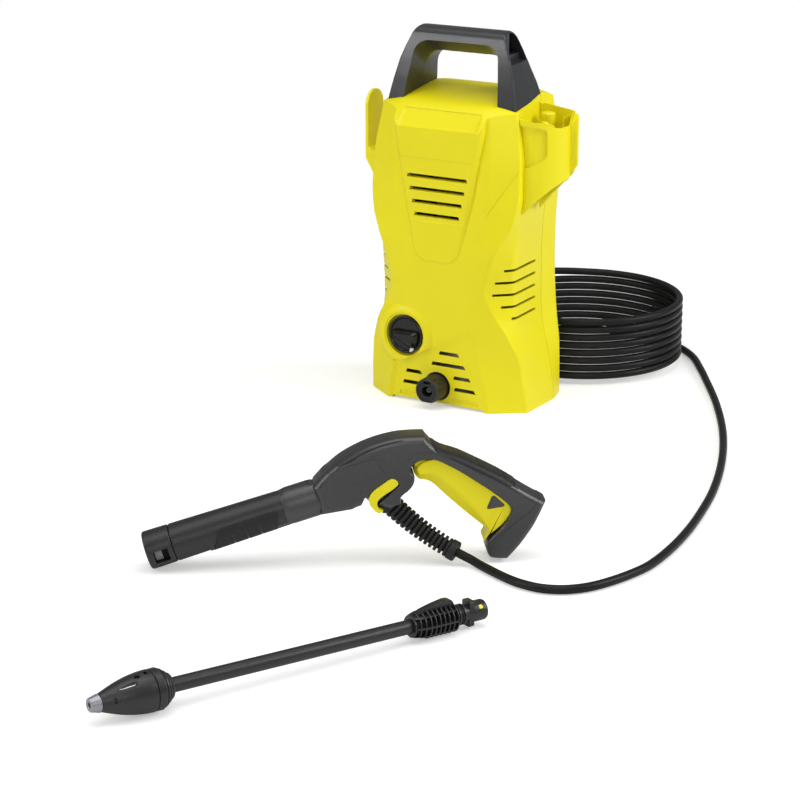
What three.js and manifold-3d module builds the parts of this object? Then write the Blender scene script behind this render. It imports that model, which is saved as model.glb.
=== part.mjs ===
// Compact upright pressure washer with its trigger gun, hose coil and spray lance
// Units are millimetres. The unit's front faces -Y, +X is its right side, +Z is up.
import * as THREE from 'three';
import { mergeVertices } from 'three/addons/utils/BufferGeometryUtils.js';
import Module from 'manifold-3d';

const wasm = await Module();
wasm.setup();

// Clearances and cutting overrun
const GAP = 0.3;
const OVERRUN = 6;

// Housing shells
const SHOULDER_HEIGHT = 353;
const BASE_HALF_WIDTH = 107;
const FRONT_DEPTH = 66;
const REAR_DEPTH = 66;
const SEAM_Y = 30;
const HOUSING_WALL = 3;
const REAR_CORNER = 10;
const CROWN_HALF_WIDTH = 60;
const CROWN_FALL = 12.5;
const FLOOR_RAISE = 3;
const FLOOR_THICKNESS = 4;
const RIM_WIDTH = 7;
const FRONT_LIP_HALF_WIDTH = 62;
const REAR_LIP_HALF_WIDTH = 50;

// Raised front panel and its slots
const PANEL_FRONT = 69.5;
const PANEL_TOP_HALF_WIDTH = 54.4;
const PANEL_FOOT_HALF_WIDTH = 27.7;
const PANEL_TOP_DROP = 21;
const PANEL_TOP_Z = SHOULDER_HEIGHT - PANEL_TOP_DROP;
const PANEL_RUN_OUT = 35;
const PANEL_RUN_OUT_Z = SHOULDER_HEIGHT + PANEL_RUN_OUT;
const PANEL_FOOT_DROP = 169;
const PANEL_FOOT_Z = SHOULDER_HEIGHT - PANEL_FOOT_DROP;
const PANEL_FOOT_SAG = 7;
const PANEL_BEVEL = 5.5;
const PANEL_ROOT = 58;
const PANEL_SLOT_COUNT = 4;
const PANEL_SLOT_DROP = 78;
const PANEL_SLOT_TOP_Z = SHOULDER_HEIGHT - PANEL_SLOT_DROP;
const PANEL_SLOT_PITCH = 15;
const PANEL_SLOT_HEIGHT = 4.6;
const PANEL_SLOT_TOP_HALF = 40;
const PANEL_SLOT_LOW_HALF = 30;

// Lower grille and side vents
const GRILLE_SLOT_HEIGHT = 4.6;
const GRILLE_PITCH = 14;
const GRILLE_TOP_Z = 64.5;
const GRILLE_HALF_WIDTH = 56;
const VENT_COUNT = 5;
const VENT_TOP_Z = 171;
const VENT_PITCH = 14.6;
const VENT_HEIGHT = 3.2;
const VENT_REAR_Y = 15;
const VENT_BEND_X = 89;
const VENT_BEND_Y = -41;
const VENT_TIP_X = 68;
const VENT_TIP_Y = -57;

// Shell cradles and screws
const CRADLE_THICKNESS = 3;
const LOW_CRADLE_Z = 150;
const HIGH_CRADLE_Z = 201;
const SCREW_HEAD_RADIUS = 3.6;
const SCREW_HEAD_HEIGHT = 2.6;
const SCREW_SHANK_RADIUS = 1.9;
const SCREW_LENGTH = 24;
const SCREW_INSET = 7.5;
const SCREW_BOSS_RADIUS = 5.4;
const SCREW_LOW_Z = 24;
const SCREW_MID_Z = 186;
const SCREW_HIGH_DROP = 31;
const SCREW_HIGH_Z = SHOULDER_HEIGHT - SCREW_HIGH_DROP;
const SCREW_COUNTERBORE = 30;

// Carry handle
const HANDLE_FOOT_HALF = 86;
const HANDLE_TOP_HALF = 58;
const HANDLE_RISE = 88.5;
const HANDLE_TOP_Z = SHOULDER_HEIGHT + HANDLE_RISE;
const HANDLE_OPENING_FOOT_HALF = 59;
const HANDLE_OPENING_TOP_HALF = 47;
const HANDLE_BAR = 31.5;
const HANDLE_OPENING_TOP_Z = HANDLE_TOP_Z - HANDLE_BAR;
const HANDLE_CORNER = 11;
const HANDLE_FOOT_FRONT = 43.5;
const HANDLE_FLARE_Y = 2;
const HANDLE_FLARE_RISE = 36;
const HANDLE_FLARE_Z = HANDLE_OPENING_TOP_Z + HANDLE_FLARE_RISE;
const HANDLE_WALL = 3;
const HANDLE_POCKET_DEPTH = 38;
const SCALLOP_COUNT = 4;
const SCALLOP_RADIUS = 13;
const SCALLOP_DEPTH = 1.8;
const SCALLOP_PITCH = 20;

// Gun holster on the right and cable hook on the left
const HOLDER_REACH = 141;
const HOOK_REACH = 131;
const HOLDER_WALL = 3;
const HOLSTER_FRONT_Y = -37;
const HOLSTER_CORNER_Y = -20;
const HOLSTER_REAR_Y = 14;
const HOLSTER_BACK_Y = 27;
const HOLSTER_RIM_DROP = 6;
const HOLSTER_RIM_Z = SHOULDER_HEIGHT - HOLSTER_RIM_DROP;
const HOLSTER_CORNER_DROP = 15;
const HOLSTER_CORNER_TOP_Z = SHOULDER_HEIGHT - HOLSTER_CORNER_DROP;
const HOLSTER_BACK_RISE = 5;
const HOLSTER_BACK_TOP_Z = SHOULDER_HEIGHT + HOLSTER_BACK_RISE;
const HOLSTER_SLANT_DROP = 70;
const HOLSTER_SLANT_TOP_Z = SHOULDER_HEIGHT - HOLSTER_SLANT_DROP;
const HOLSTER_SLANT_RISE = 13;
const HOLSTER_ROOT_DROP = 120;
const HOLSTER_SLANT_ROOT_Z = SHOULDER_HEIGHT - HOLSTER_ROOT_DROP;
const HOLDER_ROOT_X = 80;
const HOLSTER_RIB_Y = -6;
const HOOK_FRONT_Y = -14;
const HOOK_REAR_Y = 21;
const HOOK_RISE = 4;
const HOOK_TOP_Z = SHOULDER_HEIGHT + HOOK_RISE;
const HOOK_ARM_DROP = 61;
const HOOK_ARM_TOP_Z = SHOULDER_HEIGHT - HOOK_ARM_DROP;
const HOOK_ROOT_DROP = 91;
const HOOK_ARM_ROOT_Z = SHOULDER_HEIGHT - HOOK_ROOT_DROP;
const HOOK_ARM_THICKNESS = 15;
const HOOK_PLATE = 4;

// Switch
const SWITCH_X = -43;
const SWITCH_Z = 80.7;
const BOSS_BASE_RADIUS = 38;
const BOSS_RIM_RADIUS = 30;
const BOSS_FRONT = 70;
const RECESS_RADIUS = 25.5;
const RECESS_FLOOR = 60;
const KNOB_RADIUS = 23;
const KNOB_FACE = 67;
const KNOB_FRONT = 73;
const KNOB_POINTER_WIDTH = 15;
const SWITCH_SHAFT_RADIUS = 5;
const SWITCH_BODY_SIDE = 30;
const SWITCH_BODY_DEPTH = 20;

// Outlet
const OUTLET_Z = 23;
const OUTLET_HOLE_RADIUS = 17.6;
const OUTLET_RADIUS = 14.6;
const OUTLET_FRONT = 90;
const OUTLET_BACK = 46.3;
const OUTLET_BORE_RADIUS = 7;
const OUTLET_BORE_DEPTH = 24;
const OUTLET_KEY_WIDTH = 6;
const OUTLET_KEY_REACH = 10.5;
const OUTLET_RING_DEPTH = 7;

// Pump and gear train
const DRIVE_X = 6;
const DRIVE_Y = -10;
const PUMP_FOOT_Z = 10;
const PUMP_HEAD_RADIUS = 34;
const PUMP_HEAD_TOP_Z = 44;
const PUMP_PORT_RADIUS = 11;
const BLOCK_RADIUS = 32;
const BLOCK_TOP_Z = 80;
const PISTON_COUNT = 3;
const PISTON_CIRCLE = 18;
const PISTON_RADIUS = 7;
const PISTON_FOOT_Z = 54;
const PISTON_STROKE = 6.6;
const PISTON_TOP_Z = 92;
const CASE_RADIUS = 40;
const CASE_WALL = 3;
const CASE_TOP_Z = 128;
const SWASH_RADIUS = 27;
const SWASH_LOW_Z = 93.5;
const SWASH_HIGH_Z = 103;
const SWASH_TOP_Z = 108;
const DRIVE_SHAFT_RADIUS = 5;
const GEAR_MODULE = 1.5;
const GEAR_TEETH = 24;
const PINION_TEETH = 8;
const GEAR_FOOT_Z = 112;
const GEAR_TOP_Z = 120;
const GEAR_BACKLASH_SHARE = 0.38;

// Motor
const STATOR_RADIUS = 38;
const STATOR_BORE = 24;
const STATOR_TOP_Z = 188;
const ROTOR_RADIUS = 23;
const ROTOR_FOOT_Z = 134;
const ROTOR_TOP_Z = 182;
const COMMUTATOR_RADIUS = 12;
const COMMUTATOR_FOOT_Z = 189;
const COMMUTATOR_TOP_Z = 203;
const MOTOR_SHAFT_RADIUS = 4;
const MOTOR_SHAFT_TOP_Z = 232;
const BRACKET_BORE = 30;
const BRACKET_TOP_Z = 214;
const BRACKET_PLATE = 4;
const BRUSH_WIDTH = 9;
const BRUSH_FOOT_Z = 191.5;
const BRUSH_TOP_Z = 201;
const FAN_RADIUS = 33;
const FAN_HUB_RADIUS = 10;
const FAN_FOOT_Z = 217;
const FAN_TOP_Z = 228;
const FAN_BLADES = 9;
const FAN_BLADE = 1.6;

// Small fittings in the housing
const CAPACITOR_X = -58;
const CAPACITOR_Y = 4;
const CAPACITOR_RADIUS = 14;
const CAPACITOR_HEIGHT = 46;
const PRESSURE_SWITCH_LENGTH = 22;
const PRESSURE_SWITCH_WIDTH = 20;
const PRESSURE_SWITCH_FOOT_Z = 50;
const PRESSURE_SWITCH_TOP_Z = 76;
const INLET_Z = 30;
const INLET_RADIUS = 12;
const INLET_BORE = 7.5;
const INLET_REAR = 84;
const INLET_THREAD_RADIUS = 14;
const INLET_FLANGE = 18;
const SIEVE_LENGTH = 10;
const GLAND_X = -44;
const GLAND_Z = 40;
const GLAND_RADIUS = 9;
const GLAND_FLANGE = 12;
const GLAND_BORE = 3.6;
const GLAND_REAR = 80;

// Gun: where its plane stands and how it is turned
const GUN_X = 37;
const GUN_Y = -670;
const GUN_TURN_DEG = 37;
const GUN_HALF_WIDTH = 18;
const GUN_BEVEL = 5;
const GUN_SHRINK = 2.6;
const GUN_SKIN = 2.4;
const GUN_LENGTH = 385;
const GUN_HEIGHT = 134.4;
const BARREL_ROOT_X = 154.34;
const BARREL_ROOT_Z = 68.14;
const BARREL_PITCH_DEG = 16.8;
const BARREL_LENGTH = 170;
const BARREL_X = BARREL_ROOT_X - BARREL_LENGTH * Math.cos(THREE.MathUtils.degToRad(BARREL_PITCH_DEG));
const BARREL_Z = BARREL_ROOT_Z - BARREL_LENGTH * Math.sin(THREE.MathUtils.degToRad(BARREL_PITCH_DEG));
const BARREL_MOUTH_RADIUS = 19.2;
const BARREL_END_RADIUS = 17;
const SOCKET_RING_LENGTH = 27;
const SOCKET_BORE = 13;
const SOCKET_DEPTH = 62;
const PIPE_RADIUS = 5;
const PAD_GROOVES = 3;
const PAD_FIRST = 84;
const PAD_PITCH = 27;
const PAD_GROOVE = 2.4;
const VALVE_HALF_WIDTH = 12;

// Trigger, its pin and lock
const TRIGGER_HALF_WIDTH = 15;
const TRIGGER_WALL = 2.6;
const TRIGGER_PIVOT_X = 258;
const TRIGGER_PIVOT_Z = 114;
const TRIGGER_ARM = 14;
const TRIGGER_PIN_RADIUS = 2.5;
const TRIGGER_RANGE_DEG = 9;
const SWEEP_STEPS = 6;
const TRIGGER_TOE_FIRST = 8;
const TRIGGER_TOE_LAST = 12;
const LOCK_SIDE = 15;
const LOCK_X = 334.5;
const LOCK_Z = 54.5;
const LOCK_TRAVEL = 3;

// Hose coupling, clip and bend protector
const COUPLING_X = 225;
const COUPLING_Z = 65;
const COUPLING_PITCH_DEG = -47;
const COUPLING_NECK = 8;
const MOUTH_RADIUS = 10.4;
const SLEEVE_RADIUS = 13;
const MOUTH_SETBACK = 8;
const COUPLING_DEPTH = 30;
const CLIP_BAND = 7;
const CLIP_HALF_WIDTH = 19;
const CLIP_REACH = 22;
const CLIP_FOOT = 14;
const CLIP_TRAVEL = 9;
const CLIP_SETBACK = 5.5;
const BOOT_COLLAR_RADIUS = 12;
const BOOT_RIBS = 13;
const BOOT_RIB_RADIUS = 11;
const BOOT_RIB_END_RADIUS = 9.6;
const BOOT_GROOVE_DEPTH = 2.6;
const BOOT_END_LENGTH = 9;
const BOOT_END_RADIUS = 10.4;
const BOOT_SIDES = 8;
const BOOT_REACH = 50;
const BOOT_END_X = 282;
const BOOT_END_Y = -506.5;
const BOOT_END_Z = 12.5;

// Hose
const HOSE_DIAMETER = 9;
const HOSE_REST_Z = 4.6;
const HOSE_STEPS = 56;
const HOSE_SIDES = 8;
const COIL_X = 58.5;
const COIL_Y = 206;
const COIL_RADIUS = 116.5;
const COIL_PITCH = 9.6;
const COIL_START_DEG = 75;
const COIL_END_DEG = 190;
const COIL_WHOLE_TURNS = 8;
const COIL_STEPS = 24;
const COIL_SIDES = 6;
const COIL_LIFT = 6.6;
const COIL_LIFT_SPAN_DEG = 80;
const CONNECTOR_SLEEVE = 6.6;
const CONNECTOR_SLEEVE_LENGTH = 16;
const CONNECTOR_NUT = 10;
const CONNECTOR_NUT_LENGTH = 24;
const CONNECTOR_NOSE = 5.4;
const CONNECTOR_NOSE_LENGTH = 13;

// Lance: tip position, turn and lean of its axis
const LANCE_X = 208.8;
const LANCE_Y = -991;
const LANCE_Z = 19.8;
const LANCE_TURN_DEG = 65.3;
const LANCE_PITCH_DEG = -0.8;
const TIP_LENGTH = 9;
const TIP_RADIUS = 6.2;
const TIP_BORE = 2.6;
const NOZZLE_LENGTH = 48;
const NOZZLE_RADIUS = 18.6;
const NOZZLE_NECK = 8.4;
const NOZZLE_WALL = 3;
const NOZZLE_WINDOW = 9;
const COLLAR_LENGTH = 18.5;
const COLLAR_NECK = 10;
const COLLAR_RINGS = 3;
const ROTOR_LENGTH = 34;
const SPRAY_ROTOR_RADIUS = 9;
const TUBE_RADIUS = 6.7;
const TUBE_BORE = 3.6;
const GRIP_START = 322.5;
const GRIP_LENGTH = 46;
const GRIP_RADIUS = 14.2;
const GRIP_CORE = 8.6;
const GRIP_FINS = 9;
const GRIP_FIN = 1.5;
const GRIP_CREST = 19;
const GRIP_CREST_WIDTH = 7;
const NECK_LENGTH = 16;
const NECK_RADIUS = 7.6;
const WING_LENGTH = 5;
const WING_REACH = 12.6;
const WING_WIDTH = 13;
const HEAD_LENGTH = 14;
const HEAD_RADIUS = 9.8;
const HEAD_BORE = 3.6;
const SEAL_WIDTH = 3;
const SEAL_RADIUS = 9.4;

// Materials
const finish = (color, roughness, metalness) => new THREE.MeshStandardMaterial({ color, roughness, metalness });
const YELLOW = finish(0xf2e41f, 0.45, 0);
const DARK_GREY = finish(0x45464a, 0.6, 0);
const BLACK = finish(0x1b1b1c, 0.55, 0);
const GLOSS_BLACK = finish(0x0d0d0e, 0.25, 0);
const RUBBER = finish(0x161616, 0.7, 0);
const BRASS = finish(0xb08d3f, 0.35, 1);
const STEEL = finish(0x9fa3a8, 0.35, 1);
const ALUMINIUM = finish(0xb7babd, 0.5, 1);
const COPPER = finish(0x8f5a33, 0.45, 1);
const CLEAR_GREY = finish(0x7b7d80, 0.4, 0);

const root = new THREE.Group();
const gun = new THREE.Group();
gun.position.set(GUN_X, GUN_Y, 0);
gun.rotation.z = THREE.MathUtils.degToRad(GUN_TURN_DEG);
const lance = new THREE.Group();
lance.position.set(LANCE_X, LANCE_Y, LANCE_Z);
lance.rotation.order = 'ZYX';
lance.rotation.z = THREE.MathUtils.degToRad(LANCE_TURN_DEG);
lance.rotation.y = THREE.MathUtils.degToRad(-LANCE_PITCH_DEG);
root.add(gun, lance);
const cordNodes = new Set();

// Turning three.js geometry into solids and back: vertices joined, flat triangles dropped, faces out
const signedVolume = (position, index) => {
  const [a, b, c] = [new THREE.Vector3(), new THREE.Vector3(), new THREE.Vector3()];
  let sum = 0;
  for (let i = 0; i < index.length; i += 3) {
    a.fromBufferAttribute(position, index[i]);
    b.fromBufferAttribute(position, index[i + 1]);
    c.fromBufferAttribute(position, index[i + 2]);
    sum += a.dot(b.cross(c));
  }
  return sum;
};

const bare = (geometry) => {
  const g = geometry.clone();
  g.deleteAttribute('normal');
  g.deleteAttribute('uv');
  const merged = mergeVertices(g);
  const all = merged.index.array;
  const index = [];
  for (let i = 0; i < all.length; i += 3) {
    const [a, b, c] = [all[i], all[i + 1], all[i + 2]];
    if (a !== b && b !== c && c !== a) index.push(a, b, c);
  }
  if (signedVolume(merged.attributes.position, index) < 0) index.reverse();
  merged.setIndex(index);
  return merged;
};

const solid = (geometry) => {
  const g = bare(geometry);
  const triVerts = new Uint32Array(g.index.array);
  return new wasm.Manifold(new wasm.Mesh({ numProp: 3, vertProperties: g.attributes.position.array, triVerts }));
};

const shape = (manifold) => {
  const { vertProperties, triVerts } = manifold.getMesh();
  const g = new THREE.BufferGeometry();
  g.setAttribute('position', new THREE.BufferAttribute(new Float32Array(vertProperties), 3));
  g.setIndex(new THREE.BufferAttribute(new Uint32Array(triVerts), 1));
  return g;
};

const piece = (name, body, material, parent = root) => {
  const geometry = body.isBufferGeometry ? bare(body) : shape(body);
  const flat = geometry.toNonIndexed();
  flat.computeVertexNormals();
  const mesh = new THREE.Mesh(flat, material);
  mesh.name = name;
  parent.add(mesh);
  return mesh;
};

const union = (list) => list.reduce((sum, item) => sum.add(item));

// Simple solids
const box = (x0, x1, y0, y1, z0, z1) => {
  const g = new THREE.BoxGeometry(x1 - x0, y1 - y0, z1 - z0);
  return solid(g.translate((x0 + x1) / 2, (y0 + y1) / 2, (z0 + z1) / 2));
};

const rod = (axis, radius, from, to, u, v, endRadius = radius, sides = 20) => {
  const g = new THREE.CylinderGeometry(endRadius, radius, to - from, sides);
  const middle = (from + to) / 2;
  if (axis === 'x') return solid(g.rotateZ(-Math.PI / 2).translate(middle, u, v));
  if (axis === 'y') return solid(g.translate(u, middle, v));
  return solid(g.rotateX(Math.PI / 2).translate(u, v, middle));
};

// Outline in x and z, pushed from y0 to y1
const slab = (points, y0, y1) => {
  const outline = new THREE.Shape(points.map(([x, z]) => new THREE.Vector2(x, z)));
  const g = new THREE.ExtrudeGeometry(outline, { depth: y1 - y0, bevelEnabled: false });
  return solid(g.rotateX(Math.PI / 2).translate(0, y1, 0));
};

// Outline in x and y, pushed from z0 to z1
const plate = (points, z0, z1) => {
  const outline = new THREE.Shape(points.map(([x, y]) => new THREE.Vector2(x, y)));
  const g = new THREE.ExtrudeGeometry(outline, { depth: z1 - z0, bevelEnabled: false });
  return solid(g.translate(0, 0, z0));
};

// Body of revolution about x, from [x, radius] pairs that start and end on the axis
const turned = (points, sides = 20) => {
  const profile = points.map(([x, r]) => new THREE.Vector2(r, x));
  return new THREE.LatheGeometry(profile, sides).rotateZ(-Math.PI / 2);
};

// Skin through a row of equal rings, with both ends closed
const loft = (rings) => {
  const n = rings[0].length;
  const position = rings.flat().flatMap((p) => [p.x, p.y, p.z]);
  const index = [];
  for (let i = 0; i + 1 < rings.length; i += 1) {
    for (let j = 0; j < n; j += 1) {
      const a = i * n + j;
      const b = i * n + ((j + 1) % n);
      index.push(a, b, b + n, a, b + n, a + n);
    }
  }
  const cap = (ring, base, flip) => {
    const centre = ring.reduce((sum, p) => sum.add(p), new THREE.Vector3()).divideScalar(n);
    const c = position.length / 3;
    position.push(centre.x, centre.y, centre.z);
    for (let j = 0; j < n; j += 1) {
      const a = base + j;
      const b = base + ((j + 1) % n);
      index.push(...(flip ? [c, b, a] : [c, a, b]));
    }
  };
  cap(rings[0], 0, true);
  cap(rings[rings.length - 1], (rings.length - 1) * n, false);
  const g = new THREE.BufferGeometry();
  g.setAttribute('position', new THREE.Float32BufferAttribute(position, 3));
  g.setIndex(index);
  return g;
};

// Polygon moved inwards by a distance, its points kept in order
const signedArea = (points) => points.reduce((sum, [x, z], i) => {
  const [p, q] = points[(i + 1) % points.length];
  return sum + x * q - p * z;
}, 0);

const inset = (points, distance) => {
  const n = points.length;
  const side = Math.sign(signedArea(points));
  return points.map(([x, z], i) => {
    const [px, pz] = points[(i + n - 1) % n];
    const [nx, nz] = points[(i + 1) % n];
    const before = new THREE.Vector2(x - px, z - pz).normalize();
    const after = new THREE.Vector2(nx - x, nz - z).normalize();
    const normal = new THREE.Vector2(-(before.y + after.y), before.x + after.x).multiplyScalar(side);
    const stretch = distance / Math.max(normal.lengthSq() / 2, 1 / 2);
    return [x + normal.x * stretch, z + normal.y * stretch];
  });
};

// The same kind of slab with both faces drawn in by a chamfer
const chamfered = (points, y0, y1, bevel) => {
  const small = inset(points, bevel);
  const n = points.length;
  const levels = [[small, y0], [points, y0 + bevel], [points, y1 - bevel], [small, y1]];
  const position = levels.flatMap(([ring, y]) => ring.flatMap(([x, z]) => [x, y, z]));
  const index = [];
  for (let i = 0; i + 1 < levels.length; i += 1) {
    for (let j = 0; j < n; j += 1) {
      const a = i * n + j;
      const b = i * n + ((j + 1) % n);
      index.push(a, b, b + n, a, b + n, a + n);
    }
  }
  const faces = THREE.ShapeUtils.triangulateShape(small.map(([x, z]) => new THREE.Vector2(x, z)), []);
  const last = (levels.length - 1) * n;
  for (const [a, b, c] of faces) {
    const along = signedArea([small[a], small[b], small[c]]) * signedArea(points) > 0;
    const [p, q] = along ? [b, c] : [c, b];
    index.push(a, q, p, a + last, p + last, q + last);
  }
  const g = new THREE.BufferGeometry();
  g.setAttribute('position', new THREE.Float32BufferAttribute(position, 3));
  g.setIndex(index);
  return solid(g);
};

// Outer shape of the body, level by level, as shares of its height, half width and depths.
// Columns: height, front, flat, crease x, crease y, bend x, bend y, seam x, rear x
const body_level_shares = [
  [0, 1, 0.63, 1, 0.57, 1, 0.23, 1, 0.888],
  [0.1, 1, 0.54, 0.972, 0.65, 0.966, 0.23, 0.96, 0.888],
  [0.187, 1, 0.47, 0.935, 0.71, 0.92, 0.27, 0.89, 0.88],
  [0.27, 1.015, 0.42, 0.824, 0.85, 0.86, 0.45, 0.825, 0.845],
  [0.334, 1.025, 0.42, 0.69, 0.92, 0.838, 0.58, 0.807, 0.825],
  [0.411, 1.035, 0.43, 0.575, 1, 0.832, 0.62, 0.804, 0.808],
  [0.516, 1.03, 0.51, 0.663, 1.015, 0.838, 0.64, 0.8, 0.803],
  [0.561, 1.02, 0.54, 0.735, 1, 0.846, 0.62, 0.807, 0.805],
  [0.632, 0.99, 0.56, 0.868, 0.865, 0.872, 0.56, 0.823, 0.813],
  [0.722, 0.96, 0.58, 0.925, 0.775, 0.907, 0.45, 0.85, 0.832],
  [0.85, 0.94, 0.58, 0.916, 0.7, 0.897, 0.42, 0.86, 0.832],
  [0.977, 0.9, 0.56, 0.85, 0.62, 0.841, 0.38, 0.79, 0.77],
  [1.1, 0.8, 0.54, 0.79, 0.55, 0.78, 0.36, 0.73, 0.7],
];

const bodyRing = (row, wall) => {
  const [height, front, flat, creaseX, creaseY, bendX, bendY, seamX, rearX] = row;
  const z = height * SHOULDER_HEIGHT;
  const w = BASE_HALF_WIDTH;
  const d = FRONT_DEPTH;
  const half = [
    [flat * w - wall / 2, -(front * d - wall)],
    [creaseX * w - wall, -(creaseY * d - wall)],
    [bendX * w - wall, -bendY * d],
    [seamX * w - wall, SEAM_Y],
    [rearX * w - wall, REAR_DEPTH - REAR_CORNER],
    [rearX * w - REAR_CORNER, REAR_DEPTH - wall],
  ];
  const mirrored = half.map(([x, y]) => [-x, y]).reverse();
  return [...half, ...mirrored].map(([x, y]) => new THREE.Vector3(x, y, z));
};

const bodyLoft = (wall) => solid(loft(body_level_shares.map((row) => bodyRing(row, wall))));

// Side profile of the top, as shares of the depths and of the shoulder height
const crown_profile_shares = [
  [-1.2, 0.905],
  [-1.06, 0.938],
  [-0.97, 0.971],
  [-0.85, 0.994],
  [-0.65, 1.018],
  [-0.2, 1.034],
  [0.18, 1.045],
  [0.55, 1.051],
  [0.92, 1.036],
  [1.2, 0.99],
];

// Everything below the top surface of the body, lowered by a wall
const crown = (lower, widen = 0) => {
  const reach = HOLDER_REACH + widen;
  const fall = (CROWN_FALL * (reach - CROWN_HALF_WIDTH)) / (BASE_HALF_WIDTH - CROWN_HALF_WIDTH);
  const ring = (x, drop) => {
    const top = crown_profile_shares.map(([y, z]) => [y * FRONT_DEPTH, z * SHOULDER_HEIGHT - drop - lower]);
    const foot = -OVERRUN * 2;
    const first = top[0][0];
    const last = top[top.length - 1][0];
    return [[last, foot], [first, foot], ...top].map(([y, z]) => new THREE.Vector3(x, y, z)).reverse();
  };
  return solid(loft([ring(reach, fall), ring(CROWN_HALF_WIDTH, 0), ring(-CROWN_HALF_WIDTH, 0), ring(-reach, fall)]));
};

// Outline of the raised panel, grown outwards by a distance
const panelRing = (grow, y) => {
  const top = PANEL_RUN_OUT_Z;
  const rise = (top - PANEL_FOOT_Z) / (PANEL_TOP_Z - PANEL_FOOT_Z);
  const topHalf = PANEL_FOOT_HALF_WIDTH + (PANEL_TOP_HALF_WIDTH - PANEL_FOOT_HALF_WIDTH) * Math.min(rise, 1);
  const half = [
    [topHalf + grow, top],
    [PANEL_TOP_HALF_WIDTH + grow, PANEL_TOP_Z],
    [PANEL_FOOT_HALF_WIDTH + grow, PANEL_FOOT_Z],
    [PANEL_FOOT_HALF_WIDTH * 0.6 + grow * 0.6, PANEL_FOOT_Z - PANEL_FOOT_SAG - grow],
  ];
  const mirrored = half.map(([x, z]) => [-x, z]).reverse();
  return [...half, ...mirrored].map(([x, z]) => new THREE.Vector3(x, y, z)).reverse();
};

const frontPanel = () => solid(loft([panelRing(PANEL_BEVEL, -PANEL_ROOT), panelRing(0, -PANEL_FRONT)].reverse()));

// Horizontal slots as boxes across the front wall
const frontSlot = (x0, x1, z, height) => {
  const depth = FRONT_DEPTH * 0.8;
  return box(x0, x1, -PANEL_FRONT - OVERRUN, -depth, z - height / 2, z + height / 2);
};

const panelSlots = () => {
  const cuts = [];
  for (let i = 0; i < PANEL_SLOT_COUNT; i += 1) {
    const share = i / (PANEL_SLOT_COUNT - 1);
    const half = PANEL_SLOT_TOP_HALF + (PANEL_SLOT_LOW_HALF - PANEL_SLOT_TOP_HALF) * share;
    cuts.push(frontSlot(-half, half, PANEL_SLOT_TOP_Z - i * PANEL_SLOT_PITCH, PANEL_SLOT_HEIGHT));
  }
  return cuts;
};

// Grille slots: step down from the top, and both ends as shares of the half width
const grille_slot_shares = [
  [0, 0.04, 0.51],
  [1, -0.14, 0.66],
  [2, 0.39, 0.79],
  [3, 0.41, 0.91],
  [2, -0.77, -0.4],
  [3, -0.84, -0.44],
];

const grilleSlots = () => grille_slot_shares.map(([step, a, b]) => {
  const z = GRILLE_TOP_Z - step * GRILLE_PITCH;
  return frontSlot(a * GRILLE_HALF_WIDTH, b * GRILLE_HALF_WIDTH, z, GRILLE_SLOT_HEIGHT);
});

// Bent vents that wrap from the chamfer on to the side; tip place as a share of the bend's run
const vent_tip_shares = [0.5, 0.9, 1, 0.6, 0.1];

const sideVents = () => {
  const cuts = [];
  for (let i = 0; i < VENT_COUNT; i += 1) {
    const z = VENT_TOP_Z - i * VENT_PITCH;
    const share = vent_tip_shares[i % vent_tip_shares.length];
    const tipX = VENT_BEND_X + (VENT_TIP_X - VENT_BEND_X) * share;
    const tipY = VENT_BEND_Y + (VENT_TIP_Y - VENT_BEND_Y) * share;
    const deep = HOUSING_WALL * 3;
    for (const side of [1, -1]) {
      const path = [
        [side * (tipX + deep), tipY - deep],
        [side * (VENT_BEND_X + deep), VENT_BEND_Y],
        [side * (VENT_BEND_X + deep), VENT_REAR_Y],
        [side * (VENT_BEND_X - deep), VENT_REAR_Y],
        [side * (VENT_BEND_X - deep), VENT_BEND_Y + deep / 2],
        [side * (tipX - deep / 2), tipY + deep / 2],
      ];
      cuts.push(plate(side > 0 ? path : path.reverse(), z - VENT_HEIGHT / 2, z + VENT_HEIGHT / 2));
    }
  }
  return cuts;
};

// Screw places: x and z of each axis along y
const bodyHalfAt = (z) => {
  const share = z / SHOULDER_HEIGHT;
  const rows = body_level_shares;
  const i = rows.findIndex((row) => row[0] > share);
  const [low, high] = [rows[i - 1], rows[i]];
  const t = (share - low[0]) / (high[0] - low[0]);
  return BASE_HALF_WIDTH * Math.min(low[7] + (high[7] - low[7]) * t, low[8] + (high[8] - low[8]) * t);
};

const screwPlaces = [SCREW_LOW_Z, SCREW_MID_Z, SCREW_HIGH_Z].flatMap((z) => {
  const x = bodyHalfAt(z) - HOUSING_WALL - SCREW_INSET;
  return [[x, z], [-x, z]];
});
const screwHeadY = REAR_DEPTH - SCREW_COUNTERBORE;
const screwTipY = screwHeadY - SCREW_LENGTH;

const motorX = DRIVE_X;
const motorY = DRIVE_Y + (GEAR_MODULE * (GEAR_TEETH + PINION_TEETH)) / 2;

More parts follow.
